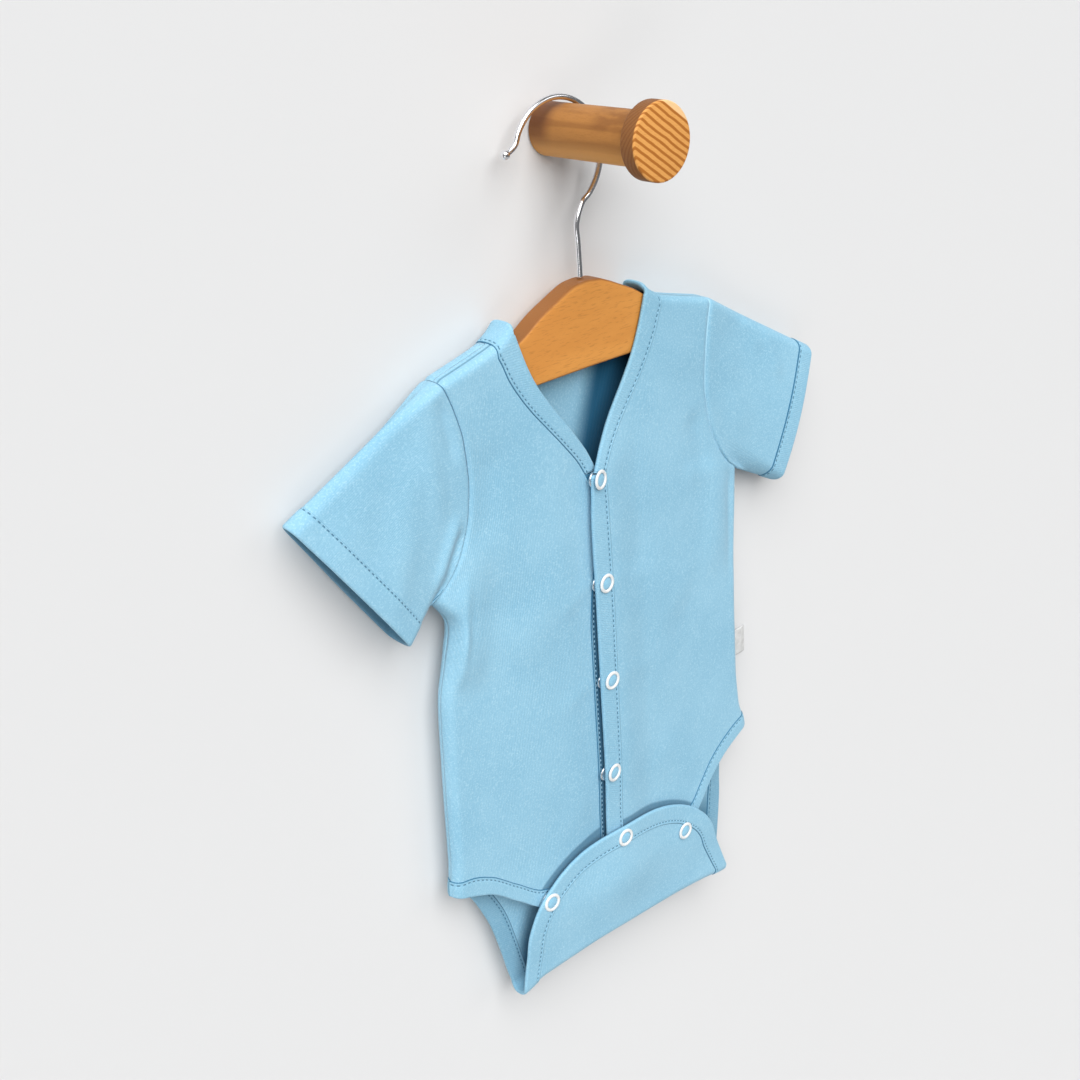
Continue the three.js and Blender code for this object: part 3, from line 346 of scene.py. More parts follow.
peg_profile = np.vstack([
    [(0.6, 0)],
    rounded_edge(PEG_RADIUS, 0, 1, PEG_EDGE),
    rounded_edge(PEG_RADIUS, PEG_LENGTH, -1, PEG_EDGE)[::-1],
    [(0.6, PEG_LENGTH)],
])
peg_points, peg_quads = turned(peg_profile, 72)
peg_points = peg_points[:, [0, 2, 1]] * (1, -1, 1)
peg = put_solid("wall_peg", *close_ends(peg_points, peg_quads, 72), peg_wood)
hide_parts("peg")


# Knob: a thick wooden disc glued on the front end of the peg, cut so that its grain runs across it.
# Its edges are a little rounded and its late wood shows as strong slanting stripes.
KNOB_RADIUS = 16.6
KNOB_BACK = 62.3
KNOB_FRONT = 70.7
KNOB_EDGE = 0.9
knob_wood, knob_colour, knob_spot, knob_line = wood(
    "knob_wood", (0.78, 0.37, 0.1, 1), (0.42, 0.14, 0.022, 1), (60, 20, 110),
    (math.radians(60), math.radians(-20), 0), (3.9, 3.5, 0.45, 0.8, 0.95), 0.55,
)
knob_out = Value(knob_wood, knob_wood.node("ShaderNodeSeparateXYZ", (), {0: knob_spot}).outputs["Y"]) * -1
# Painted shade: the rim and the back are darkened, and only the front face keeps the wood's colour.
knob_face = knob_out.clamped(0.0695, 0.0701)
knob_colour = knob_wood.mix((1 - knob_face) * 0.88, knob_colour, (0.19, 0.07, 0.02, 1))
knob_sliver = knob_line.clamped(-49.7, -49.4) * knob_face
knob_colour = knob_wood.mix(knob_sliver, knob_colour, (0.92, 0.58, 0.28, 1))
knob_wood.feed(knob_wood.shader.inputs["Base Color"], knob_colour)
knob_profile = np.vstack([
    [(0.6, KNOB_BACK)],
    rounded_edge(KNOB_RADIUS, KNOB_BACK, 1, KNOB_EDGE),
    rounded_edge(KNOB_RADIUS, KNOB_FRONT, -1, KNOB_EDGE)[::-1],
    [(0.6, KNOB_FRONT)],
])
knob_points, knob_quads = turned(knob_profile, 96)
knob_points = knob_points[:, [0, 2, 1]] * (1, -1, 1)
knob = put_solid("peg_knob_disc", *close_ends(knob_points, knob_quads, 96), knob_wood)
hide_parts("peg_knob")


# Hook: chromed steel wire, bent round the peg and screwed into the middle of the hanger.
# Its free end has a short straight kink and a small ball.
WIRE_RADIUS = 1.4
BALL_RADIUS = 2.2
HANGER_Y = -12.0
HOOK_RADIUS = 25.4
HOOK_CENTRE = (-5.98, -10.35)
HOOK_TURN = (160, -60)
HOOK_TIP = [(-35.5, -4.8), (-32.6, -3.6)]
STEM_X = 2.4
HOOK_STEM = [(STEM_X, -41), (STEM_X, -50), (STEM_X, -58), (STEM_X, -66.1)]
HOOK_SIDES = 24


def smooth(rows, count, power=1.0):
    """Rows of numbers resampled on a smooth curve through them.

    The curve's parameter grows by the length of each step to the given power. Between rows it is
    a cubic whose tangents are the slopes of the parabola through each row and its neighbours.
    """
    rows = np.asarray(rows, float)
    length = np.linalg.norm(np.diff(rows, axis=0), axis=1) ** power
    key = np.concatenate([[0], np.cumsum(length)])
    tangent = np.gradient(rows, key, axis=0, edge_order=1)
    at = np.linspace(0, key[-1], count)
    i = np.clip(np.searchsorted(key, at, side="right") - 1, 0, len(key) - 2)
    span = (key[i + 1] - key[i])[:, None]
    t = (at - key[i])[:, None] / span
    start = (2 * t**3 - 3 * t**2 + 1) * rows[i] + (t**3 - 2 * t**2 + t) * span * tangent[i]
    return start + (3 * t**2 - 2 * t**3) * rows[i + 1] + (t**3 - t**2) * span * tangent[i + 1]


def wire(path, radius, sides):
    """Round wire along a path in the plane y = HANGER_Y: a ring of sides points at each step."""
    along = np.gradient(path, axis=0)
    along /= np.linalg.norm(along, axis=1)[:, None]
    angle = np.arange(sides) * 2 * math.pi / sides
    across = np.cos(angle) * radius
    x = path[:, :1] - along[:, 1:] * across
    z = path[:, 1:] + along[:, :1] * across
    y = np.broadcast_to(HANGER_Y + np.sin(angle) * radius, x.shape)
    return np.stack([x, y, z], -1).reshape(-1, 3), grid_faces(len(path), sides)


chrome = Finish("chrome_wire", {"Metallic": 1, "Base Color": (0.88, 0.88, 0.9, 1)})
chrome_spot = chrome.node("ShaderNodeTexCoord").outputs["Object"]
chrome_haze = chrome.noise(chrome_spot, 400, 3)
chrome.feed(chrome.shader.inputs["Roughness"], chrome_haze * 0.08 + 0.16)
chrome.relief(chrome_haze, 0.00001, 0.15)

bend_angle = np.radians(np.linspace(*HOOK_TURN, 19))
bend = np.stack([
    HOOK_CENTRE[0] + HOOK_RADIUS * np.cos(bend_angle),
    HOOK_CENTRE[1] + HOOK_RADIUS * np.sin(bend_angle),
], 1)
hook_path = smooth([*HOOK_TIP, *bend, *HOOK_STEM], 260, 0.6)
hook_points, hook_quads = wire(hook_path, WIRE_RADIUS, HOOK_SIDES)
hook_points, hook_faces = close_ends(hook_points, hook_quads, HOOK_SIDES)
hook = put_solid("hook_wire", hook_points, hook_faces, chrome)
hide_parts("hanger_hook")

ball_turn = np.linspace(0.04, math.pi - 0.04, 20)
ball_profile = np.stack([BALL_RADIUS * np.sin(ball_turn), -BALL_RADIUS * np.cos(ball_turn)], 1)
ball_points, ball_quads = turned(ball_profile, 28)
ball_points = ball_points + (HOOK_TIP[0][0], HANGER_Y, HOOK_TIP[0][1])
ball = put_solid("hook_ball", *close_ends(ball_points, ball_quads, 28), chrome)


# Hanger: a small shaped board of lacquered beech with rounded arms, inside the shoulders.
# The hook stands in a hole in the middle of its top edge.
HANGER_THICKNESS = 11.0
HANGER_TOP = [
    (0, -66.4), (7, -67.1), (13.5, -69.4), (20, -72.4), (28, -76.2), (33, -79.2), (37.5, -82.2),
    (44, -85.6), (54, -89), (66, -92.6), (73, -94.6), (77, -97.2), (79, -101.5),
]
HANGER_BOTTOM = [
    (0, -107.2), (34, -107.5), (48, -108.6), (60, -110), (68, -110.7), (73, -110.4),
    (77, -107.5), (79, -102.5),
]
HANGER_SQUARENESS = 13.0


def curve(table, at, column=1):
    """Value of a table's column at a key in its first column, on a smooth curve.

    Each row's tangent is the harmonic mean of the slopes on its two sides, or 0 where they differ
    in sign, so the curve never swings past its rows.
    """
    rows = np.array(table, float)
    rows = rows[np.argsort(rows[:, 0])]
    key, value = rows[:, 0], rows[:, column]
    slope = np.diff(value) / np.diff(key)
    before, after = slope[:-1], slope[1:]
    agree = before * after > 0
    mean = np.where(agree, 2 * before * after / np.where(agree, before + after, 1), 0)
    tangent = np.concatenate([slope[:1], mean, slope[-1:]])
    at = np.clip(np.asarray(at, float), key[0], key[-1])
    i = np.clip(np.searchsorted(key, at, side="right") - 1, 0, len(slope) - 1)
    span = key[i + 1] - key[i]
    t = (at - key[i]) / span
    start = (2 * t**3 - 3 * t**2 + 1) * value[i] + (t**3 - 2 * t**2 + t) * span * tangent[i]
    return start + (3 * t**2 - 2 * t**3) * value[i + 1] + (t**3 - t**2) * span * tangent[i + 1]


def smoothstep(value, low, high):
    """0 below low, 1 above high, and 3 t^2 - 2 t^3 between."""
    t = np.clip((np.asarray(value, float) - low) / (high - low), 0, 1)
    return t * t * (3 - 2 * t)


def hanger_rings(steps, sides):
    """Hanger as rings along x: each a squared ellipse between its top and its bottom edge.

    Returns the points, the faces and, for each point, 1 on the narrow faces and 0 on the wide ones.
    """
    out = np.sin(np.linspace(-math.pi / 2, math.pi / 2, steps)) * 78.9
    top = curve(HANGER_TOP, np.abs(out))
    bottom = curve(HANGER_BOTTOM, np.abs(out))
    angle = np.arange(sides) * 2 * math.pi / sides
    power = 2 / HANGER_SQUARENESS
    rise = np.sign(np.sin(angle)) * np.abs(np.sin(angle)) ** power
    across = np.sign(np.cos(angle)) * np.abs(np.cos(angle)) ** power
    z = (top + bottom)[:, None] / 2 + (top - bottom)[:, None] / 2 * rise
    end = np.sqrt(np.clip(1 - np.clip((np.abs(out) - 76) / 3, 0, 1) ** 2, 0.02, 1))[:, None]
    y = HANGER_Y + HANGER_THICKNESS / 2 * across * end
    x = np.broadcast_to((STEM_X + out)[:, None], z.shape)
    points = np.stack([x, y, z], -1).reshape(-1, 3)
    narrow = smoothstep(np.abs(rise), 0.93, 0.995)
    return points, grid_faces(steps, sides), np.tile(narrow, steps)


beech = Finish("beech", {"Roughness": 0.45, "Specular IOR Level": 0.25})
beech_spot = beech.node("ShaderNodeTexCoord").outputs["Object"]
beech_fleck = beech.noise(beech.stretched(beech_spot, (190, 900, 1900)), 1.0, 3, 0.6).clamped(0.54, 0.66)
beech_cloud = beech.noise(beech.stretched(beech_spot, (18, 40, 90)), 1.0, 3).clamped(0.3, 0.7)
beech_base = beech.mix(beech_cloud * 0.6, (0.72, 0.315, 0.073, 1), (0.6, 0.24, 0.052, 1))
beech_face = beech.mix(beech_fleck * 0.35, beech_base, (0.36, 0.13, 0.03, 1))
# Painted shade: the narrow top and bottom faces are darkened.
beech_narrow_painted_shade = Value(beech, beech.node("ShaderNodeAttribute", {"attribute_name": "narrow"}).outputs["Fac"])
beech_colour = beech.mix(beech_narrow_painted_shade * 0.85, beech_face, (0.26, 0.095, 0.025, 1))
beech.feed(beech.shader.inputs["Base Color"], beech_colour)
beech.relief(beech_fleck, 0.00008, 0.4)
hanger_points, hanger_quads, hanger_narrow = hanger_rings(160, 128)
hanger = put_solid("hanger_board", *close_ends(hanger_points, hanger_quads, 128), beech)
hanger_marks = hanger.data.attributes.new("narrow", "FLOAT", "POINT")
hanger_marks.data.foreach_set("value", np.concatenate([hanger_narrow, [0.0, 0.0]]))
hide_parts("hanger")


# Back of the garment: one piece of pale blue cotton interlock jersey, from the shoulder seams down
# to the crotch fold, where it turns up in front as the snap flap. It hangs on the hanger.
CLOTH = 1.2
SEAM_TUCK = 1.8
SIDE_ROUND = 5.0
SHOULDER_ROUND = 5.0
FOLD_ROUND = 6.0
CROTCH_LEAN = 3.0
NECK_X = -4.5
NECK_HALF = 51.0
BACK_NECK_DROP = 11.5
SHOULDER_NECK_Z = -82.5
NECK_SQUARENESS = 2.6
UNDERARM_Z = -191.0
HIP_Z = -341.0
LAP_LIFT = 3.0
LAP_EASE = 24.0
UNDER_SINK = 1.0
UNDER_EASE = 20.0
FLAP_FOOT_Z = -425.0
FLAP_FULL_Z = -385.0
FLAP_FOOT_LIFT = 1.6
FLAP_LIFT = 4.2
FLAP_OVER_PLACKET = 3.0
FLAP_OVER_WIDTH = 22.0
SNAP_X = -4.5
FRONT_FOOT_Z = -371.0

# Silhouette under the arms: height, left and right edge
SIDES = [
    (-191, -100.5, 102), (-207, -91.8, 101.3), (-222, -95.2, 100.5), (-245, -101, 99.5),
    (-275, -103, 98.8), (-307, -104.7, 98.8), (-333, -106, 101), (-351, -108, 105.5),
    (-440, -108, 105.5),
]
# Seam where each sleeve is set in: height, left and right
ARMHOLES = [
    (-91.5, -85.5, 81.5), (-105, -80.5, 78.5), (-120, -76.8, 76.8), (-138, -75.4, 76.4),
    (-155, -77.5, 79), (-168, -82.3, 83.5), (-180, -89.5, 90.5), (-191, -100.5, 102),
]
# Top silhouette: distance from the neck's centre line, height
SHOULDERS = [
    (0, -58), (30, -58), (40.5, -74.5), (45, -79), (51, -82.5), (60, -85.3), (84, -91.6), (200, -122),
]
# Half depth of the hollow form: height, at its edges, at the middle in front, at the middle behind
DEPTHS = [
    (-76, 7.7, 7.9, 7.9), (-100, 7.6, 8, 7.7), (-116, 7.1, 8.3, 7.4), (-132, 5.4, 8.7, 6.8),
    (-150, 4.7, 9, 6.2), (-191, 4.6, 9.4, 5), (-260, 5, 9.4, 4.6), (-320, 5, 8.6, 4.6),
    (-351, 4.6, 7.6, 4.6), (-400, 4.4, 6.8, 4.6), (-440, 4.4, 6.4, 4.6),
]
# Crotch fold, which droops at its corners: x, height
FOLD = [
    (-108, -433), (-76, -430.5), (-60, -427), (-31, -427), (1, -428.5), (35, -431.5), (60, -435),
    (77, -438), (108, -440),
]
# Folds: face, one end, the other end, width, height; those on the back are like the front's
CREASES = [
    (-1, -94, -190, -86, -240, 9, 2.2), (-1, -78, -172, -84, -232, 9, 1.6),
    (-1, 83, -186, 80, -240, 9, 1.3), (-1, 95, -188, 94, -250, 4, -1.7),
    (-1, -60, -235, -24, -205, 16, 0.9),
    (-1, 52, -250, 16, -218, 16, 0.9), (1, -92, -190, -80, -245, 11, 1.2),
    (1, 92, -190, 80, -245, 11, 1.2), (1, -40, -130, -30, -300, 22, 0.7),
    (-1, -89, -205, -93, -237, 3.2, 1.2), (-1, -84, -184, -90, -224, 2.8, 1.1),
    (-1, -32, -222, -10, -213, 4.5, 0.35), (-1, -36, -276, -12, -267, 5, 0.3),
    (-1, 24, -222, 2, -213, 5, 0.35), (-1, 26, -275, 2, -268, 5, 0.3),
    (-1, 66, -150, 74, -182, 7, -1.0), (-1, 60, -178, 88, -186, 6, 0.6),
    (-1, -64, -130, -70, -170, 8, -0.7), (-1, -20, -330, -60, -372, 12, 0.5),
    (-1, 30, -330, 62, -362, 12, 0.5), (1, -60, -210, -20, -260, 14, 0.6),
    (1, 58, -215, 24, -300, 12, 0.6), (1, -20, -310, 30, -350, 15, 0.5),
    (1, 62, -150, 70, -180, 7, -0.8), (1, -66, -150, -72, -180, 7, -0.8),
]
# Back leg edges below the hip: share of the way down to the fold, left seam, right seam, then the
# left and right edge of the binding and how far it lies lower
BACK_LEGS = [
    (0, -107, 102.9, -108, 105.5, 10), (0.06, -97, 95, -101, 99, 8.5),
    (0.155, -89, 86.5, -94.5, 92, 6.8), (0.31, -80.5, 80.5, -89, 88.5, 5),
    (0.51, -73.8, 77, -83.8, 87, 3), (0.73, -69.8, 74, -80.2, 84.3, 1.6),
    (0.92, -67, 71, -77.5, 81.5, 0.6), (1, -65.7, 69, -76, 79.3, 0),
]
FLAP_X = -1.5
FLAP_HALF = 72.0
FLAP_TOP_Z = -359.0
FLAP_SPRING_Z = -412.0
FLAP_ROUND_POWER = 2.15
FLAP_TURN = -0.1
BAND_WIDTH = 11.0
STITCH_PITCH = 0.0028
SHOULDER_SEAM = 0.12
JERSEY_PALE = (0.305, 0.565, 0.725, 1)
JERSEY_DEEP = (0.235, 0.485, 0.65, 1)
JERSEY_FLECK = (0.46, 0.72, 0.85, 1)
# Dark blue of all the painted shade on the jersey.
JERSEY_PAINTED_SHADE = (0.002, 0.08, 0.165, 1)


def blend(first, second, share):
    return first + (second - first) * share


def side_x(side, z):
    return curve(SIDES, z, 1 if side < 0 else 2)


def armhole_x(side, z):
    return curve(ARMHOLES, z, 1 if side < 0 else 2)


def shoulder_z(x):
    return curve(SHOULDERS, np.abs(x - NECK_X))


def fold_z(x):
    return curve(FOLD, x)


def crease_height(x, z, face):
    """Height of the folds: on each, a bell across its line that fades out towards both ends."""
    height = 0.3 * np.sin(x / 15 + z / 38) * np.sin(z / 27 - x / 50 + face)
    for of_face, x0, z0, x1, z1, width, high in CREASES:
        if of_face == face:
            along_x, along_z = x1 - x0, z1 - z0
            length = math.hypot(along_x, along_z)
            along = ((x - x0) * along_x + (z - z0) * along_z) / length**2
            across = ((x - x0) * along_z - (z - z0) * along_x) / length
            fade = smoothstep(along, -0.15, 0.2) * (1 - smoothstep(along, 0.7, 1.15))
            height = height + high * fade * np.exp(-((across / width) ** 2))
    return height


def layer_lift(x, z, layer):
    """Extra height of the lapped fronts at the placket, and of the flap above the fronts."""
    if layer == "flap":
        rise = smoothstep(z, FLAP_FOOT_Z, FLAP_FULL_Z)
        over_placket = FLAP_OVER_PLACKET * np.exp(-(((x - SNAP_X) / FLAP_OVER_WIDTH) ** 2))
        return blend(FLAP_FOOT_LIFT, FLAP_LIFT, rise) + rise * over_placket
    near = smoothstep(-z, 130, 158)
    if layer == "over":
        return near * LAP_LIFT * (1 - smoothstep(x, 1, 1 + LAP_EASE))
    if layer == "under":
        return -near * UNDER_SINK * smoothstep(x, -10 - UNDER_EASE, -10)
    return 0 * x


def depth_squared(x, z, face, layer):
    """Square of the half depth of the hollow form: bulge times rounding at its silhouettes.

    The bulge falls from the middle to the edges with the square of x; the folds and the lap are
    added to it. The rounding is 0 at the silhouette and 1 one radius further in.
    """
    half = np.maximum(np.abs(np.where(x < 0, side_x(-1, z), side_x(1, z))), 1)
    edge = curve(DEPTHS, z, 1)
    middle = curve(DEPTHS, z, 2 if face < 0 else 3)
    share = np.clip(np.abs(x) / half, 0, 1)
    deep = edge + (middle - edge) * (1 - share**2) + crease_height(x, z, face) + layer_lift(x, z, layer)
    top_inside = 1 - (1 - np.minimum((shoulder_z(x) - z) / SHOULDER_ROUND, 1)) ** 3
    top = np.sign(top_inside) * np.abs(top_inside) ** (2 / 3)
    side = np.where(x < NECK_X, -1, 1)
    silhouette = np.where(side < 0, side_x(-1, z), side_x(1, z))
    corner = np.where(side < 0, side_x(-1, UNDERARM_Z), side_x(1, UNDERARM_Z))
    to_corner = np.hypot(corner - x, z - UNDERARM_Z)
    distance = np.where(z <= UNDERARM_Z, side * (silhouette - x), to_corner)
    sides = 1 - (1 - np.minimum(distance / SIDE_ROUND, 1)) ** 2
    folded = 1 - (1 - np.minimum((z - fold_z(x)) / FOLD_ROUND, 1)) ** 2
    fold = folded if face > 0 or layer == "flap" else 1
    return deep**2 * top * sides * fold


def on_body(x, z, face, layer="plain", lift=0.0):
    """Points on the outside of the form and their outward normals, moved out by lift.

    The surface is where (y - middle)^2 equals the squared half depth, so its normal is the
    gradient of the difference.
    """
    x, z, lift = np.broadcast_arrays(np.asarray(x, float), np.asarray(z, float), np.asarray(lift, float))
    step = 0.02
    squared = lambda x, z: depth_squared(x, z, face, layer)
    half = np.sqrt(np.maximum(squared(x, z), 0))
    across_x = (squared(x + step, z) - squared(x - step, z)) / (2 * step)
    across_z = (squared(x, z + step) - squared(x, z - step)) / (2 * step)
    middle = lambda height: HANGER_Y - CROTCH_LEAN * smoothstep(-height, 350, 432)
    lean = (middle(z + step) - middle(z - step)) / (2 * step)
    off = face * half
    normal = np.stack([-across_x, 2 * off, -2 * off * lean - across_z], -1)
    normal /= np.maximum(np.linalg.norm(normal, axis=-1, keepdims=True), 1e-9)
    return np.stack([x, middle(z) + off, z], -1) + normal * lift[..., None], normal


def put_cloth(name, outer, inner, pattern, finish, looped=False, marks=()):
    """Closed wall of cloth: an outer grid, an inner grid and the rims that join their edges.

    Its pattern coordinates, in metres, lie in the UV map cloth. A looped grid closes on itself
    along each row. The faces are turned outwards by the sign of the volume. marks are named grids
    of numbers that the finish reads.
    """
    rows, columns = outer.shape[:2]
    count = rows * columns
    points = np.concatenate([outer.reshape(-1, 3), inner.reshape(-1, 3)]) / 1000
    face = grid_faces(rows, columns, looped)
    j = np.arange(columns if looped else columns - 1)
    j_after = (j + 1) % columns
    last = (rows - 1) * columns
    quads = [
        face,
        face[:, ::-1] + count,
        np.stack([j, j + count, j_after + count, j_after], 1),
        np.stack([last + j, last + j_after, last + j_after + count, last + j + count], 1),
    ]
    if not looped:
        i = np.arange(rows - 1) * columns
        right = i + columns - 1
        quads.append(np.stack([i, i + columns, i + columns + count, i + count], 1))
        quads.append(np.stack([right, right + count, right + columns + count, right + columns], 1))
    quads = np.concatenate(quads)
    corner = points[quads]
    volume = np.einsum("ij,ij->", corner[:, 0], np.cross(corner[:, 1], corner[:, 2]))
    volume += np.einsum("ij,ij->", corner[:, 0], np.cross(corner[:, 2], corner[:, 3]))
    if volume < 0:
        quads = quads[:, ::-1]
    mesh = bpy.data.meshes.new(name)
    mesh.vertices.add(len(points))
    mesh.vertices.foreach_set("co", points.ravel())
    mesh.loops.add(quads.size)
    mesh.loops.foreach_set("vertex_index", quads.ravel())
    mesh.polygons.add(len(quads))
    mesh.polygons.foreach_set("loop_start", np.arange(0, quads.size, 4))
    mesh.polygons.foreach_set("loop_total", np.full(len(quads), 4))
    mesh.update(calc_edges=True)
    mesh.polygons.foreach_set("use_smooth", [True] * len(quads))
    layer = mesh.uv_layers.new(name="cloth")
    flat = np.concatenate([pattern.reshape(-1, 2), pattern.reshape(-1, 2)]) / 1000
    layer.data.foreach_set("uv", flat[quads.ravel()].ravel())
    inside = mesh.attributes.new("inside", "FLOAT", "POINT")
    inside.data.foreach_set("value", np.repeat([0.0, 1.0], count))
    for mark_name, mark in dict(marks).items():
        values = mesh.attributes.new(mark_name, "FLOAT", "POINT")
        values.data.foreach_set("value", np.tile(mark.ravel(), 2))
    mesh.materials.append(finish.material)
    piece = bpy.data.objects.new(name, mesh)
    scene.collection.objects.link(piece)
    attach(piece, "root")
    return piece


def jersey_finish(name, seam=None, stitched=None, shade=None, ribbed=0, shoulder=False, tube=False):
    """Interlock jersey: fine wales along V and courses along U, a soft melange and a light fuzz.

    seam is the width, colour and share of a painted line along V = 0: dark as shade in the seam's
    ditch, or pale as a highlight on its ridge. stitched is the V of a row of needle holes, one
    between each two stitches, painted dark as shade. shade is how much painted shade darkens the
    inside, or None for the body, where the painted shade grows towards the right of the neck and
    behind the flap's left edge. ribbed is the strength of slanting ribs; what lies under an
    overhang is painted in shade there. shoulder is for the fronts: it paints shade in the seam
    just below the shoulder and a shadow along the flap. In a tube the painted shade inside starts
    past the seam.
    """
    finish = Finish(name, {
        "Roughness": 0.92, "Specular IOR Level": 0.18, "Sheen Weight": 0.25, "Sheen Roughness": 0.45,
        "Sheen Tint": (0.8, 0.92, 1, 1),
    })
    spot = finish.node("ShaderNodeTexCoord").outputs["Object"]
    thread = finish.node("ShaderNodeUVMap", {"uv_map": "cloth"}).outputs[0]
    axis = finish.node("ShaderNodeSeparateXYZ", (), {0: thread})
    wale = (Value(finish, axis.outputs[0]) * (2 * math.pi / 0.00095)).sine()
    course = (Value(finish, axis.outputs[1]) * (2 * math.pi / 0.0008)).sine()
    slub = finish.noise(finish.stretched(thread, (900, 350, 1)), 1.0, 3, 0.6)
    cloud = finish.noise(spot, 26, 3, 0.55).clamped(0.3, 0.7)
    height = wale * 0.5 + wale * course * 0.35 + slub * 1.2
    fleck = finish.noise(spot, 1100, 2, 0.7).clamped(0.47, 0.7)
    colour = finish.mix(cloud * 0.6 + slub.clamped(0.35, 0.7) * 0.35, JERSEY_PALE, JERSEY_DEEP)
    colour = finish.mix(fleck * 0.5, colour, JERSEY_FLECK)
    place = finish.node("ShaderNodeSeparateXYZ", (), {0: spot})
    high = Value(finish, place.outputs["Z"])
    inner = Value(finish, finish.node("ShaderNodeAttribute", {"attribute_name": "inside"}).outputs["Fac"])
    if tube:
        inner = inner * Value(finish, axis.outputs[1]).clamped(0.012, 0.035)
    rightwards = Value(finish, place.outputs["X"])
    slant = rightwards - high * 0.35
    # Painted shade on the inside of the body: towards the right of the neck, and behind the flap's left
    # edge.
    hollow = slant.clamped(0.042, 0.057) * high.clamped(-0.19, -0.16) * 0.97
    corner = (rightwards - high * 0.3).clamped(0.049, 0.06) * (high * -1).clamped(0.375, 0.41)
    hollow = hollow + corner * 0.85
    colour = finish.mix(inner * (hollow if shade is None else shade), colour, JERSEY_PAINTED_SHADE)
    if ribbed:
        skew = Value(finish, axis.outputs[0]) + Value(finish, axis.outputs[1]) * 0.5
        rib = (skew * (2 * math.pi / 0.0013)).sine()
        colour = finish.mix((rib * 0.5 + 0.5) * ribbed, colour, JERSEY_DEEP)
        height = height + rib * ribbed * 2
    if shoulder:
        mark = finish.node("ShaderNodeAttribute", {"attribute_name": "below_shoulder"})
        below = Value(finish, mark.outputs["Fac"])
        # Painted shade in the ditch of the seam just below the shoulder.
        ditch = 1 - (below - SHOULDER_SEAM).size().clamped(0.03, 0.09)
        colour = finish.mix(ditch * 0.5, colour, JERSEY_PAINTED_SHADE)
        # Painted shadow of the flap along its edge.
        mark = finish.node("ShaderNodeAttribute", {"attribute_name": "from_flap"})
        flap_painted_shadow = 1 - Value(finish, mark.outputs["Fac"]).clamped(0.4, 2.2)
        colour = finish.mix(flap_painted_shadow * 0.6, colour, JERSEY_PAINTED_SHADE)
    if ribbed:
        # Painted shade under the upper placket band's edge.
        mark = finish.node("ShaderNodeAttribute", {"attribute_name": "overhang"})
        colour = finish.mix(Value(finish, mark.outputs["Fac"]) * 0.85, colour, JERSEY_PAINTED_SHADE)
    if seam:
        width, seam_colour, share = seam
        # Painted line along the seam: dark as shade in its ditch, or pale as a highlight on its ridge.
        away = Value(finish, axis.outputs[1])
        line = (1 - away.clamped(width * 0.45, width)) * away.clamped(0.00001, 0.0001)
        colour = finish.mix(line * share, colour, seam_colour)
    if stitched:
        # Painted shade in the needle holes along the stitched row.
        row = 1 - (Value(finish, axis.outputs[1]) - stitched).size().clamped(0.00018, 0.0005)
        pace = Value(finish, axis.outputs[0]) * (2 * math.pi / STITCH_PITCH)
        hole = (pace - math.pi / 2).sine().clamped(-0.4, 0.3)
        colour = finish.mix(row * (hole * 0.6 + 0.12), colour, JERSEY_PAINTED_SHADE)
    finish.feed(finish.shader.inputs["Base Color"], colour)
    finish.relief(height, 0.0001, 0.6)
    return finish


jersey = jersey_finish("jersey")


def round_reach(count):
    """Shares of the way into a round edge that lie evenly on its arc."""
    return 1 - np.cos(np.linspace(0, math.pi / 2, count))


def side_columns(outer_x, inner_x, inner_count):
    """Columns of each row from a silhouette inwards: on the arc first, then evenly."""
    outer_x, inner_x = np.broadcast_arrays(outer_x, inner_x)
    direction = np.sign(inner_x - outer_x)[..., None]
    arc = outer_x[..., None] + direction * SIDE_ROUND * round_reach(8)
    start = arc[..., -1:]
    even = start + (inner_x[..., None] - start) * np.linspace(0, 1, inner_count)[1:]
    return np.concatenate([arc, even], -1)


def shoulder_drops(count):
    """Heights below the top silhouette of rows that lie evenly round it."""
    step = np.sin(np.linspace(0, math.pi / 2, count))
    return (1 - np.cbrt(1 - step**3)) * SHOULDER_ROUND


def armhole_tip_z(side):
    return shoulder_z(armhole_x(side, -91.5))


def seam_dip(x, z):
    """The cloth sinks into the armhole seam: a bell 1.2 mm wide beside the seam line."""
    left = np.exp(-(((x - armhole_x(-1, z)) / 1.2) ** 2))
    right = np.exp(-(((x - armhole_x(1, z)) / 1.2) ** 2))
    return -0.75 * (left + right) * smoothstep(z, UNDERARM_Z - 1, UNDERARM_Z + 6)


def flap_arch(t, inset):
    """Flap outline: a squared half ellipse, turned a little, from its left spring at -1 to 1."""
    angle = np.asarray(t, float) * math.pi / 2
    power = 2 / FLAP_ROUND_POWER
    across = np.sign(angle) * (FLAP_HALF - inset) * np.abs(np.sin(angle)) ** power
    up = (FLAP_TOP_Z - FLAP_SPRING_Z - inset) * np.abs(np.cos(angle)) ** power
    cos, sin = math.cos(FLAP_TURN), math.sin(FLAP_TURN)
    return np.stack([FLAP_X + across * cos - up * sin, FLAP_SPRING_Z + across * sin + up * cos], -1)


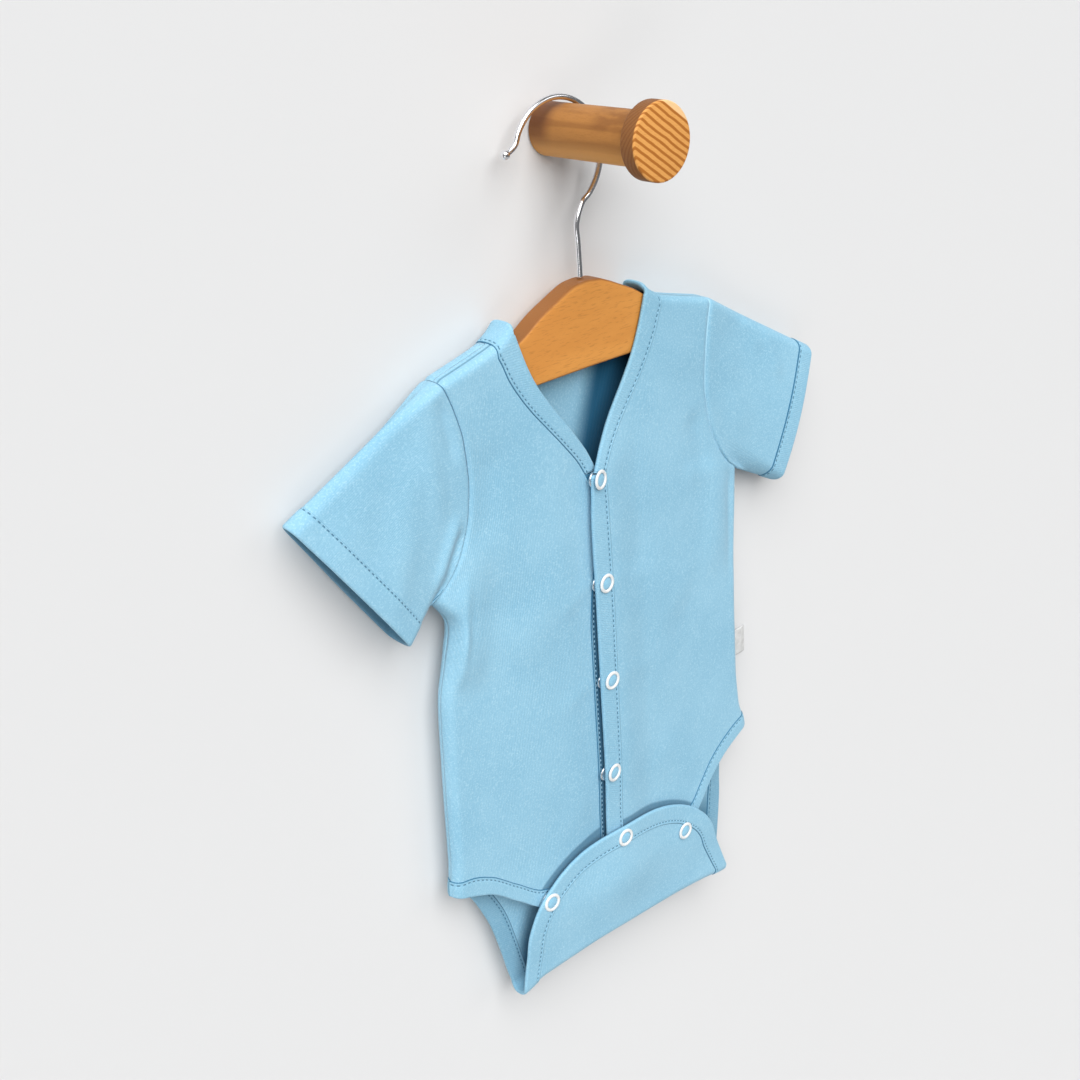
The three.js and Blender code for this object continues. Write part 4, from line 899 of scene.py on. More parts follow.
def from_flap(x, z):
    """How far a point lies outside the flap's arch, from its squared ellipse and its slope."""
    cos, sin = math.cos(FLAP_TURN), math.sin(FLAP_TURN)
    power = FLAP_ROUND_POWER

    def ring(x, z):
        across = (x - FLAP_X) * cos + (z - FLAP_SPRING_Z) * sin
        up = np.maximum((z - FLAP_SPRING_Z) * cos - (x - FLAP_X) * sin, 0)
        size = (np.abs(across) / FLAP_HALF) ** power + (up / (FLAP_TOP_Z - FLAP_SPRING_Z)) ** power
        return np.maximum(size, 1e-6) ** (1 / power)

    slope_x, slope_z = ring(x + 0.1, z) - ring(x - 0.1, z), ring(x, z + 0.1) - ring(x, z - 0.1)
    return (ring(x, z) - 1) / np.maximum(np.hypot(slope_x, slope_z) / 0.2, 1e-6)


def flap_side(side, foot_x, inset, count):
    """One side of the flap from the fold up to the top of the arch, as a smooth line."""
    foot = np.array([foot_x, fold_z(foot_x) + FOLD_ROUND])
    arch = flap_arch(side * np.array([0.86, 0.74, 0.62, 0.5]), inset)
    return smooth(np.vstack([foot, (foot + arch[0]) / 2, arch]), count)


def leg_height(x, share):
    return blend(HIP_Z, fold_z(x) + FOLD_ROUND, share)


def back_panel():
    """Grid of the back: down from the shoulders to the hips, to the fold, round it and up the flap."""
    neck_columns = np.linspace(-1, 1, 50)
    blocks = []

    def columns(left_x, right_x):
        """Three stretches across: shoulder to neck, neck, neck to shoulder."""
        left = side_columns(left_x, np.full_like(left_x, NECK_X - NECK_HALF), 16)
        right = side_columns(right_x, np.full_like(right_x, NECK_X + NECK_HALF), 16)[..., ::-1]
        neck = NECK_X + (NECK_HALF - 0.05) * np.broadcast_to(neck_columns, (*left_x.shape, 50))
        return np.concatenate([left, neck, right], -1)

    def add(x, z, face=1, layer="plain"):
        points, normal = on_body(x, z, face, layer, seam_dip(x, z) if face > 0 else 0)
        blocks.append((points, normal, x, z, face))

    drops = shoulder_drops(9)
    tips = [armhole_tip_z(side) for side in (-1, 1)]
    top_x = columns(armhole_x(-1, tips[0] - drops), armhole_x(1, tips[1] - drops))
    inside = np.abs(top_x - NECK_X) < NECK_HALF
    share = np.clip(np.abs(top_x - NECK_X) / NECK_HALF, 0, 1)
    neck_round = (1 - share**NECK_SQUARENESS) ** (1 / NECK_SQUARENESS)
    neckline = SHOULDER_NECK_Z - SHOULDER_ROUND - BACK_NECK_DROP * neck_round
    spread = drops[:, None] * 0.02
    add(top_x, np.where(inside, neckline + SEAM_TUCK - spread, shoulder_z(top_x) - drops[:, None]))
    start_z = blocks[0][3][-1]

    down = np.linspace(0, 1, 50)[1:]
    left_x = armhole_x(-1, blend(tips[0] - SHOULDER_ROUND, UNDERARM_Z, down))
    right_x = armhole_x(1, blend(tips[1] - SHOULDER_ROUND, UNDERARM_Z, down))
    x = columns(left_x, right_x)
    add(x, blend(start_z, UNDERARM_Z, down[:, None]))

    z = np.linspace(UNDERARM_Z, HIP_Z, 56)[1:]
    x = columns(side_x(-1, z), side_x(1, z))
    add(x, np.broadcast_to(z[:, None], x.shape))

    share = np.linspace(0, 1, 34)[1:]
    tuck = SEAM_TUCK * smoothstep(share, 0, 0.1)
    x = columns(curve(BACK_LEGS, share, 1) - tuck, curve(BACK_LEGS, share, 2) + tuck)
    add(x, leg_height(x, share[:, None]))

    fold_x = x[-1]
    reach = round_reach(9)
    add(np.broadcast_to(fold_x, (8, len(fold_x))), fold_z(fold_x) + FOLD_ROUND * reach[::-1][1:, None])
    rise = fold_z(fold_x) + FOLD_ROUND * reach[1:, None]
    add(np.broadcast_to(fold_x, rise.shape), rise, -1, "flap")

    inset = BAND_WIDTH - SEAM_TUCK
    count = 44
    left = flap_side(-1, fold_x[0], inset, count)
    right = flap_side(1, fold_x[-1], inset, count)
    u = (fold_x - fold_x[0]) / (fold_x[-1] - fold_x[0])
    top = flap_arch(blend(-0.5, 0.5, u), inset)
    foot = np.stack([fold_x, fold_z(fold_x) + FOLD_ROUND], -1)
    v = np.linspace(0, 1, count)[1:, None]
    bow_left = left[1:] - blend(left[0], left[-1], v)
    bow_right = right[1:] - blend(right[0], right[-1], v)
    flap = blend(foot[None], top[None], v[..., None])
    flap = flap + blend(bow_left[:, None], bow_right[:, None], u[None, :, None])
    add(flap[..., 0], flap[..., 1], -1, "flap")
    return blocks


back_blocks = back_panel()
back_outer = np.concatenate([block[0] for block in back_blocks])
back_normal = np.concatenate([block[1] for block in back_blocks])
back_pattern = np.concatenate([
    np.stack([block[2], np.where(block[4] > 0, block[3], -880 - block[3])], -1) for block in back_blocks
])
back = put_cloth("back_and_flap", back_outer, back_outer - CLOTH * back_normal, back_pattern, jersey)
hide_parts("back")


# Two fronts of the same jersey, open to the waist at the neck and closed by the placket.
# Each is sewn to the back at the shoulder and the side, and its lower edge follows the leg.
# V neck seam: height, distance from the centre line
NECK_SEAM = [
    (-88, 51), (-92, 49.2), (-99, 46.5), (-108, 41.5), (-117.5, 35), (-127.5, 27), (-139, 17.8),
    (-150, 9.5), (-157, 5.5),
]
# Placket below the neck: height, edge of the left front, edge of the right front, lap of the band
PLACKET = [
    (-157, -10, 1, -8.8), (-164, -7.4, 1.1, -9.2), (-185, -7.6, 1.3, -10.6), (-205, -8.6, 1.2, -10.9),
    (-222, -11.6, 1.1, -11), (-240, -13.2, 0.9, -11.2), (-315, -13.8, 0.2, -11.5),
    (-390, -14.8, -1.2, -13),
]
# Lower edge of each front: distance out, seam of the binding, its open edge
LEGS = {
    -1: [
        (108, -341, -350.5), (98, -342.5, -354), (87, -347.5, -359), (72, -360, -371.5),
        (56, -372.5, -384), (42, -376, -387.5), (14, -371, -382.5), (0, -370, -381.5),
    ],
    1: [
        (105.5, -341, -350.5), (97, -343, -354), (85, -348.5, -360), (73, -357, -369.5),
        (63, -368, -381), (54, -378, -390), (42, -382.5, -394), (14, -376, -387.5), (0, -372, -383.5),
    ],
}
NECK_END_Z = -157.0


def front_inner_x(side, z):
    neck = NECK_X + side * curve(NECK_SEAM, z)
    return np.where(z > NECK_END_Z, neck, curve(PLACKET, z, 1 if side < 0 else 2))


def leg_z(side, x, column):
    return curve(LEGS[side], np.abs(x), column)


def front_panel(side):
    """Grid of one front: rows from the armhole or side seam to the neck or placket, top to bottom."""
    layer = "under" if side < 0 else "over"
    tuck = side * SEAM_TUCK
    blocks = []

    def add(x, z):
        shoulder_seam = -0.25 * np.exp(-(((shoulder_z(x) - SHOULDER_SEAM - z) / 0.1) ** 2))
        blocks.append((*on_body(x, z, -1, layer, seam_dip(x, z) + shoulder_seam), x, z))

    drops = shoulder_drops(12)
    tip_z = armhole_tip_z(side)
    outer = armhole_x(side, tip_z - drops)
    x = side_columns(outer, front_inner_x(side, SHOULDER_NECK_Z - drops) - tuck, 64)
    z = shoulder_z(x) - drops[:, None]
    add(x, z)
    start_z = z[-1]

    down = np.linspace(0, 1, 60)[1:]
    outer = armhole_x(side, blend(tip_z - SHOULDER_ROUND, UNDERARM_Z, down))
    inner_z = blend(SHOULDER_NECK_Z - SHOULDER_ROUND, NECK_END_Z + 0.001, down)
    x = side_columns(outer, front_inner_x(side, inner_z) - tuck, 64)
    share = (x - x[:, :1]) / (x[:, -1:] - x[:, :1])
    add(x, blend(start_z, blend(UNDERARM_Z, NECK_END_Z, share), down[:, None]))
    start_z = blocks[-1][3][-1]

    down = np.linspace(0, 1, 100)[1:]
    foot_x = side_columns(side_x(side, HIP_Z), front_inner_x(side, FRONT_FOOT_Z) - tuck, 64)
    foot_z = leg_z(side, foot_x, 1) - SEAM_TUCK
    inner_z = blend(NECK_END_Z, foot_z[-1], down)
    outer_x = side_x(side, blend(UNDERARM_Z, foot_z[0], down))
    x = side_columns(outer_x, front_inner_x(side, inner_z) - tuck, 64)
    add(x, blend(start_z, foot_z, down[:, None]))
    return [np.concatenate([block[part] for block in blocks]) for part in range(4)]


front_finish = jersey_finish("front_jersey", shoulder=True)
SIDE_NAMES = {-1: "left", 1: "right"}
for side, side_name in SIDE_NAMES.items():
    outer, normal, x, z = front_panel(side)
    inner = outer - CLOTH * normal
    # These marks place the painted shade in the shoulder seam and the painted shadow along the flap.
    marks = {"below_shoulder": shoulder_z(x) - z, "from_flap": from_flap(x, z)}
    pattern = np.stack([x, z], -1)
    put_cloth(f"front_{side_name}_panel", outer, inner, pattern, front_finish, marks=marks)
    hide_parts(f"front_{side_name}")


# Bindings: folded strips of the same jersey, sewn over every raw edge with a ditch beside the
# seam. One goes round the neck, one down each placket edge, one along each leg edge, and one
# long strip down the back of the legs, round the fold and over the flap's arch.
BAND = 2.2
BAND_COLUMNS = 25
STITCH_IN = 2.0
STITCH_HALF = 0.8
THREAD_RADIUS = 0.26
THREAD_LIFT = 0.06
NECK_OPEN_HALF = 40.5
BACK_NECK_OPEN_DROP = 8.5
COLLAR_TOP_Z = -74.5
HIP_CORNER_Z = -351.0
HIP_LAP = 0.35
PLACKET_TOP_Z = -157.4
PLACKET_END_Z = -384.0
# V neck: seam and open edge of the binding, each by distance from the centre line and height
NECK = [
    (51, -88, 39.9, -80), (49.2, -92, 38, -86), (46.5, -99, 35.3, -94), (41.5, -108, 30.5, -105),
    (35, -117.5, 24, -115.5), (27, -127.5, 16.5, -126), (17.8, -139, 8.4, -137.5),
    (9.5, -150, 2, -147.5), (5.5, -157, -2.4, -156.5),
]
NECK_SIDE = {-1: "under", 1: "over"}
# Painted shade: the dark line in the ditch beside each seam.
DITCH_PAINTED_SHADE = (0.0009, (0.03, 0.15, 0.27, 1), 0.95)
# The bindings carry painted shade in the seam's ditch, the needle holes, the inside and under the placket's
# edge.
binding_finish = jersey_finish("binding_jersey", DITCH_PAINTED_SHADE, STITCH_IN / 1000, 0.3, 0.3)
thread_finish = Finish("sewing_thread", {"Roughness": 0.7, "Specular IOR Level": 0.3, "Sheen Weight": 0.2})
thread_spot = thread_finish.node("ShaderNodeTexCoord").outputs["Object"]
thread_twist = thread_finish.noise(thread_spot, 2500, 2)
THREAD_PALE = (0.36, 0.63, 0.78, 1)
THREAD_DEEP = (0.25, 0.5, 0.67, 1)
thread_colour = thread_finish.mix(thread_twist.clamped(0.3, 0.7), THREAD_PALE, THREAD_DEEP)
thread_finish.feed(thread_finish.shader.inputs["Base Color"], thread_colour)
thread_finish.relief(thread_twist, 0.00006, 0.5)


def band_stretch(seam, edge, face, layer, drops=None):
    """Middle surface of a binding between its seam line and its open edge, with its normals.

    Where it goes over the shoulder, drops are how far each row lies below the top silhouette, and
    the rows follow that silhouette more closely the nearer they lie to it.
    """
    t = (1 - np.cos(np.linspace(0, math.pi, BAND_COLUMNS))) / 2
    x = blend(seam[:, :1], edge[:, :1], t)
    z = blend(seam[:, 1:], edge[:, 1:], t)
    if drops is not None:
        z = blend(z, shoulder_z(x) - drops[:, None], 1 - drops[:, None] / SHOULDER_ROUND)
    return on_body(x, z, face, layer, -CLOTH / 2)


def put_band(name, stretches, node, overhang=None):
    """Closed binding: both faces swell from the middle surface, rounded at the seam and the edge.

    The half thickness is that of a flat oval; a stitched groove runs 2 mm inside the seam, and
    small puckers between the stitches cross it. overhang gives the painted shade of each point
    under the edge of the band above it.
    """
    middle = np.concatenate([stretch[0] for stretch in stretches])
    normal = np.concatenate([stretch[1] for stretch in stretches])
    step = np.linalg.norm(np.diff(middle[:, BAND_COLUMNS // 2], axis=0), axis=1)
    along = np.concatenate([[0], np.cumsum(step)])[:, None]
    across = np.linalg.norm(middle - middle[:, :1], axis=-1)
    width = across[:, -1:]
    from_end = np.minimum(across, width - across) / (BAND / 2)
    oval = np.sqrt(1 - (1 - np.clip(from_end, 0, 1)) ** 2)
    half = BAND / 2 * np.maximum(oval, 0.06)
    pulled = np.cos(2 * math.pi * along / (STITCH_PITCH * 1000))
    groove = 0.3 * np.exp(-(((across - STITCH_IN) / 0.6) ** 2)) * (1 - 0.35 * pulled)
    pucker = 0.07 * pulled * np.exp(-(((across - STITCH_IN) / 2.6) ** 2))
    outer = middle + normal * (half - groove + pucker)[..., None]
    inner = middle - normal * (half - groove * 0.6)[..., None]
    pattern = np.stack(np.broadcast_arrays(along, across), -1)
    marks = {"overhang": overhang(middle)} if overhang else {}
    piece = put_cloth(name, outer, inner, pattern, binding_finish, marks=marks)
    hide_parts(node)
    column = (BAND_COLUMNS - 1) * np.arccos(1 - 2 * STITCH_IN / width) / math.pi
    before = column.astype(int)
    line = blend(
        np.take_along_axis(outer, before[..., None], 1), np.take_along_axis(outer, before[..., None] + 1, 1),
        (column - before)[..., None],
    )[:, 0]
    return piece, put_stitches(name + "_stitches", line, normal[:, BAND_COLUMNS // 4], along[:, 0])


def put_stitches(name, line, normal, along):
    """Stitches on a line of surface points: one thread at each whole pitch of its length.

    Point (i, j) of a thread lies at the share u_i of its length, at the angle 2 pi j / 5 round it
    and at the radius r sqrt(1 - (2 u - 1)^2).
    """
    pitch = STITCH_PITCH * 1000
    centre = np.arange(math.ceil(along[0] / pitch) + 1, int(along[-1] / pitch)) * pitch
    share = np.array([0.04, 0.3, 0.7, 0.96])
    at = centre[:, None] + (2 * share - 1) * STITCH_HALF
    spot = np.stack([np.interp(at, along, line[:, axis]) for axis in range(3)], -1)
    up = np.stack([np.interp(at, along, normal[:, axis]) for axis in range(3)], -1)
    lengthwise = spot[:, -1:] - spot[:, :1]
    sideways = np.cross(np.broadcast_to(lengthwise, up.shape), up)
    sideways /= np.linalg.norm(sideways, axis=-1, keepdims=True)
    radius = THREAD_RADIUS * np.sqrt(1 - (2 * share - 1) ** 2)[:, None, None]
    angle = (np.arange(5) * 2 * math.pi / 5)[:, None]
    spot = spot + up * THREAD_LIFT
    around = np.cos(angle) * sideways[:, :, None] + np.sin(angle) * up[:, :, None]
    points = spot[:, :, None] + radius * around
    ring, corner = np.meshgrid(np.arange(3) * 5, np.arange(5), indexing="ij")
    after = (corner + 1) % 5
    quads = np.stack([ring + corner, ring + after, ring + 5 + after, ring + 5 + corner], -1).reshape(-1, 4)
    base = np.arange(len(centre))[:, None, None] * 20
    ends = np.array([[4, 3, 2, 1, 0], [15, 16, 17, 18, 19]])
    faces = (quads + base).reshape(-1, 4).tolist() + (ends + base).reshape(-1, 5).tolist()
    piece = put_solid(name, points.reshape(-1, 3), faces, thread_finish)
    return piece


def neck_side(side):
    """Neck binding from the foot of the V over the shoulder to the middle of the back neck."""
    layer = NECK_SIDE[side]
    turn = side
    table = np.array(NECK[::-1], float)
    table[:, 0] -= 0.15
    lines = smooth(table, 64)
    at = lambda out, z: np.stack(np.broadcast_arrays(NECK_X + turn * out, z), -1)
    stretches = [band_stretch(at(lines[:, 0], lines[:, 1]), at(lines[:, 2], lines[:, 3]), -1, layer)]
    seam_half = NECK_HALF - 0.15
    for face, drops in [(-1, shoulder_drops(8)[::-1]), (1, shoulder_drops(8)[1:])]:
        seam = at(seam_half, shoulder_z(NECK_X + turn * seam_half) - drops)
        edge = at(NECK_OPEN_HALF, shoulder_z(NECK_X + turn * NECK_OPEN_HALF) - drops)
        stretches.append(band_stretch(seam, edge, face, "plain", drops))
    angle = np.radians(np.linspace(0, 90, 40)[1:])
    power = 2 / NECK_SQUARENESS
    cos, sin = np.abs(np.cos(angle)) ** power, np.sin(angle) ** power
    seam = at(seam_half * cos, SHOULDER_NECK_Z - SHOULDER_ROUND - BACK_NECK_DROP * sin)
    edge = at(NECK_OPEN_HALF * cos, COLLAR_TOP_Z - SHOULDER_ROUND - BACK_NECK_OPEN_DROP * sin)
    stretches.append(band_stretch(seam, edge, 1, "plain"))
    return stretches


left_neck = neck_side(-1)
right_neck = [(middle[::-1], normal[::-1]) for middle, normal in neck_side(1)[::-1]]
right_neck[0] = (right_neck[0][0][1:], right_neck[0][1][1:])
neck_binding, neck_stitches = put_band("neck_binding_strip", left_neck + right_neck, "neck_binding")


def painted_shade_under_edge(middle):
    """Painted shade under the upper band's open edge: a bell 0.9 mm wide to its left, and all the way
    inside.
    """
    beyond = curve(PLACKET, middle[..., 2], 3) - middle[..., 0]
    return np.exp(-((np.maximum(beyond - 0.2, 0) / 0.9) ** 2))


plackets = {}
for side in (-1, 1):
    z = np.linspace(PLACKET_TOP_Z, PLACKET_END_Z, 170)
    seam_x = front_inner_x(side, z) - side * 0.15
    edge_x = seam_x + BAND_WIDTH if side < 0 else curve(PLACKET, z, 3)
    seam, edge = np.stack([seam_x, z], -1), np.stack([edge_x, z], -1)
    band_name, node = ("placket_under", "placket_left") if side < 0 else ("placket_upper", "placket_right")
    stretches = [band_stretch(seam, edge, -1, NECK_SIDE[side])]
    plackets[side], stitches = put_band(band_name, stretches, node, painted_shade_under_edge if side < 0 else None)

leg_bindings = {}
for side, side_name in SIDE_NAMES.items():
    seam_x = side_columns(side_x(side, HIP_Z) + side * HIP_LAP, front_inner_x(side, FRONT_FOOT_Z), 90)
    corner_x = side_x(side, HIP_CORNER_Z) + side * HIP_LAP
    edge_x = side_columns(corner_x, front_inner_x(side, PLACKET_END_Z), 90)
    seam = np.stack([seam_x, leg_z(side, seam_x, 1) - 0.15], -1)
    edge = np.stack([edge_x, leg_z(side, edge_x, 2)], -1)
    stretches = [band_stretch(seam, edge, -1, NECK_SIDE[side])]
    leg_bindings[side], stitches = put_band(
        f"leg_strip_{side_name}", stretches, f"leg_binding_{side_name}")


def long_side(side):
    """Long binding of one side: down the back of the leg, round the fold and up to the arch."""
    seam_column, edge_column = (1, 3) if side < 0 else (2, 4)
    share = np.linspace(0, 1, 60) ** 1.15
    seam_x = curve(BACK_LEGS, share, seam_column) - side * 0.02
    edge_x = curve(BACK_LEGS, share, edge_column) - side * 0.02
    seam = np.stack([seam_x, leg_height(seam_x, share)], -1)
    edge = np.stack([edge_x, leg_height(edge_x, share) - curve(BACK_LEGS, share, 5)], -1)
    stretches = [band_stretch(seam, edge, 1, "plain")]
    up = round_reach(8)[:, None] * FOLD_ROUND
    for face, layer, rise in [(1, "plain", up[::-1][1:]), (-1, "flap", up[1:])]:
        seam = np.hstack([np.full_like(rise, seam_x[-1]), fold_z(seam_x[-1]) + rise])
        edge = np.hstack([np.full_like(rise, edge_x[-1]), fold_z(edge_x[-1]) + rise])
        stretches.append(band_stretch(seam, edge, face, layer))
    seam = flap_side(side, seam_x[-1], BAND_WIDTH, 40)[1:]
    edge = flap_side(side, edge_x[-1], 0, 40)[1:]
    stretches.append(band_stretch(seam, edge, -1, "flap"))
    return stretches


arch_share = np.linspace(-0.5, 0.5, 110)[1:-1]
arch = [band_stretch(flap_arch(arch_share, BAND_WIDTH), flap_arch(arch_share, 0), -1, "flap")]
right_long = [(middle[::-1], normal[::-1]) for middle, normal in long_side(1)[::-1]]
long_stretches = long_side(-1) + arch + right_long
crotch_binding, crotch_stitches = put_band("leg_and_flap_strip", long_stretches, "crotch_binding")


# Short sleeves: one jersey tube each, set into the armhole, with a folded and stitched hem.
# They hang flat beside the body, and their lower corner opens like a lens.
# Top and low corner of the hem line, and how far it bulges in front and behind
SLEEVES = {
    -1: ((-166, -131.5), (-118.5, -204.5), 10.5, 6.5),
    1: ((161.5, -138), (134, -208), 9.5, 6.5),
}
SLEEVE_HEM = 12.0
SLEEVE_END_FLATTEN = 0.25
SLEEVE_SAG = {-1: 0.38, 1: 0.05}
ARMHOLE_BLEND = 0.4
# Share of the hem line that each height of the armhole seam goes to, as a share of the seam
HEM_SHARES = [
    (0, 0), (0.058, 0.05), (0.2, 0.155), (0.35, 0.26), (0.5, 0.366), (0.65, 0.472), (0.8, 0.577),
    (0.942, 0.683), (0.973, 0.789), (0.992, 0.894), (1, 1),
]
# Folds on the sleeves: side, face, one end, the other end, width, height
SLEEVE_CREASES = [
    (-1, -1, -97, -104, -93, -150, 5, 1.1), (-1, -1, -87, -98, -82, -128, 3.4, -1.5),
    (-1, -1, -84, -154, -101, -182, 3.4, 1.7), (-1, -1, -83, -162, -92, -178, 2.6, -1.1),
    (-1, -1, -100, -120, -128, -176, 9, 0.9), (-1, -1, -120, -112, -150, -158, 12, 0.7),
    (-1, -1, -108, -150, -126, -186, 6, 0.6), (1, -1, 122, -122, 133, -146, 3.5, 0.9),
    (1, -1, 108, -110, 120, -128, 5, 0.7), (1, -1, 92, -120, 104, -176, 8, 0.8),
    (1, -1, 92, -183, 106, -192, 2.2, -1.4), (-1, 1, -96, -110, -110, -180, 8, 1.0),
    (-1, 1, -120, -130, -140, -180, 9, 0.8), (1, 1, 96, -112, 108, -178, 8, 1.0),
    (1, 1, 120, -124, 140, -170, 9, 0.7),
]


def sleeve_grid(side, share_of, count, lift):
    """Rings of a sleeve from the armhole seam to its hem line, closed round each ring.

    Every column runs straight from the seam to the hem line. Its half depth goes smoothly from
    the body's at the seam to a flat oval at the hem. Rows lie at share_of(column length).
    """
    top, low, front, behind = SLEEVES[side]
    w = np.linspace(0, 1, count)
    a = (1 - np.cos(math.pi * w)) / 2
    across = np.concatenate([a, a[-2:0:-1]])
    face = np.where(np.arange(len(across)) < count, -1, 1)
    tip_z = armhole_tip_z(side)
    z0 = blend(tip_z, UNDERARM_Z, curve(HEM_SHARES, across))
    x0 = armhole_x(side, z0)
    seam_half = np.where(
        face < 0,
        np.sqrt(np.maximum(depth_squared(x0, z0, -1, "plain"), 0)),
        np.sqrt(np.maximum(depth_squared(x0, z0, 1, "plain"), 0)),
    )
    seam_half = np.where((across == 0) | (across == 1), 0, seam_half)
    start = np.stack([x0 + side * 0.1, z0], -1)
    end = blend(np.array(top), np.array(low), across[:, None])
    share = share_of(np.linalg.norm(end - start, axis=1))[..., None]
    line = blend(start, end, share)
    share = share[..., 0]
    hem_length = math.dist(top, low)
    from_edge = np.minimum(across, 1 - across) * hem_length / SIDE_ROUND
    oval = np.sqrt(1 - (1 - np.clip(from_edge, 0, 1)) ** 2)
    full = blend(curve(DEPTHS, UNDERARM_Z, 1), np.where(face < 0, front, behind), share)
    flatter = 1 - SLEEVE_END_FLATTEN * (2 * across - 1) ** 2
    own_half = full * flatter * (1 + SLEEVE_SAG[side] * (2 * across - 1)) * oval
    half = blend(seam_half, own_half, smoothstep(share, 0, ARMHOLE_BLEND))
    x, z = line[..., 0], line[..., 1]
    fold = 0.18 * np.sin(x / 9 + z / 21)
    for of_side, of_face, x0, z0, x1, z1, width, high in SLEEVE_CREASES:
        if of_side == side:
            along_x, along_z = x1 - x0, z1 - z0
            length = math.hypot(along_x, along_z)
            along = ((x - x0) * along_x + (z - z0) * along_z) / length**2
            away = ((x - x0) * along_z - (z - z0) * along_x) / length
            fade = smoothstep(along, -0.15, 0.25) * (1 - smoothstep(along, 0.7, 1.15))
            fold = fold + np.where(face == of_face, high * fade * np.exp(-((away / width) ** 2)), 0)
    y = HANGER_Y + face * (half + fold * oval * smoothstep(share, 0, 0.05))
    middle = np.stack([x, y, z], -1)
    along_grid = np.gradient(middle, axis=0)
    round_grid = np.roll(middle, -1, axis=1) - np.roll(middle, 1, axis=1)
    normal = np.cross(round_grid, along_grid) * side
    normal /= np.maximum(np.linalg.norm(normal, axis=-1, keepdims=True), 1e-9)
    length = np.linalg.norm(np.diff(middle, axis=0), axis=-1)
    down = np.vstack([np.zeros((1, len(across))), np.cumsum(length, axis=0)])
    around = np.concatenate([[0], np.cumsum(np.linalg.norm(np.diff(middle[-1], axis=0), axis=-1))])
    pattern = np.stack(np.broadcast_arrays(around[None], down), -1)
    return middle + normal * np.asarray(lift), normal, pattern, down


# Armhole seam lines are painted: dark as shade in the left one's ditch, pale as a highlight on the right
# one's ridge; the insides are painted shade.
sleeve_finish = {
    -1: jersey_finish("sleeve_left_jersey", (0.0009, DITCH_PAINTED_SHADE[1], 0.9), None, 0.75, tube=True),
    1: jersey_finish("sleeve_right_jersey", (0.0009, (0.5, 0.78, 0.9, 1), 0.6), None, 0.75, tube=True),
}
# The hems' seam lines, needle holes and insides are painted shade.
hem_finish = {
    -1: jersey_finish("hem_left_jersey", (0.0006, (0.12, 0.32, 0.46, 1), 0.5), 0.0012, 0.6),
    1: jersey_finish("hem_right_jersey", (0.0012, DITCH_PAINTED_SHADE[1], 0.95), 0.002, 0.6, 0.4),
}
HEM_STITCH = {-1: 1.2, 1: 2.0}
sleeves, hems, hem_stitches = {}, {}, {}
for side, side_name in SIDE_NAMES.items():
    rows = np.linspace(0, 1, 56)[:, None]
    middle, normal, pattern, down = sleeve_grid(
        side, lambda length: rows * (1 - (SLEEVE_HEM + 0.15 - SEAM_TUCK) / length), 64, 0)
    dip = -0.9 * np.exp(-((down / 1.2) ** 2))[..., None]
    outer = middle + normal * dip
    inner = outer - CLOTH * normal
    sleeves[side] = put_cloth(
        f"sleeve_tube_{side_name}", outer, inner, pattern, sleeve_finish[side], looped=True)
    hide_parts(f"sleeve_{side_name}")

    rows = (1 - np.cos(np.linspace(0, math.pi, 21)))[:, None] / 2
    middle, normal, pattern, down = sleeve_grid(
        side, lambda length: 1 - (1 - rows) * SLEEVE_HEM / length, 64, -CLOTH / 2)
    from_end = np.minimum(down, down[-1] - down) / (BAND / 2)
    half = BAND / 2 * np.maximum(np.sqrt(1 - (1 - np.clip(from_end, 0, 1)) ** 2), 0.06)
    pulled = np.cos(2 * math.pi * pattern[..., 0] / (STITCH_PITCH * 1000))
    groove = 0.3 * np.exp(-(((down - HEM_STITCH[side]) / 0.6) ** 2)) * (1 - 0.35 * pulled)
    outer = middle + normal * (half - groove)[..., None]
    inner = middle - normal * (half - groove * 0.6)[..., None]
    hems[side] = put_cloth(f"hem_{side_name}", outer, inner, pattern, hem_finish[side], looped=True)
    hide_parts(f"sleeve_hem_{side_name}")
    row = int(np.argmin(np.abs(down.mean(1) - HEM_STITCH[side])))
    hem_stitches[side] = put_stitches(
        f"hem_{side_name}_stitches", outer[row], normal[row], pattern[row, :, 0])


# Ring snaps: seven, each a white enamelled ring cap pressed through the upper layer, with the
# cloth showing in its centre, and a steel socket between the layers that it joins.
RING_PROFILE = [
    (3.25, 0), (3.2, 0.45), (3.4, 0.78), (3.75, 0.95), (4.2, 0.98), (4.6, 0.85), (4.88, 0.55), (5, 0.2),
    (4.9, 0), (3.25, 0),
]
FIRST_SNAP_Z = -160.0
SNAP_SPACING = 54.8
LAST_PLACKET_SNAP = (-6.6, -324)
FLAP_SNAPS = [(-55, -379), (-4, -365), (43.5, -388)]
UPPER_SNAPS = [(SNAP_X, FIRST_SNAP_Z - SNAP_SPACING * i) for i in range(3)]
SNAP_PLACES = [*UPPER_SNAPS, LAST_PLACKET_SNAP, *FLAP_SNAPS]
SNAP_LAYERS = ["over"] * 4 + ["flap"] * 3
SNAP_TILTS = [16, 6, 4, 9, 0, 0, 0]
SOCKET_SHIFTS = [1.6, 3.4, 3.6, 3.6, 0, 0, 0]
SOCKET_LIFTS = [-2.05] * 4 + [-2.2] * 3
RING_LIFT = 0.46


def facing(points, place, normal):
    """Points of a form that stands on the plane z = 0, moved to a place with z along a normal."""
    across = np.cross(normal, (0, 0, 1.0))
    across /= np.linalg.norm(across)
    up = np.cross(across, normal)
    return place + points[:, :1] * across + points[:, 1:2] * up + points[:, 2:] * normal


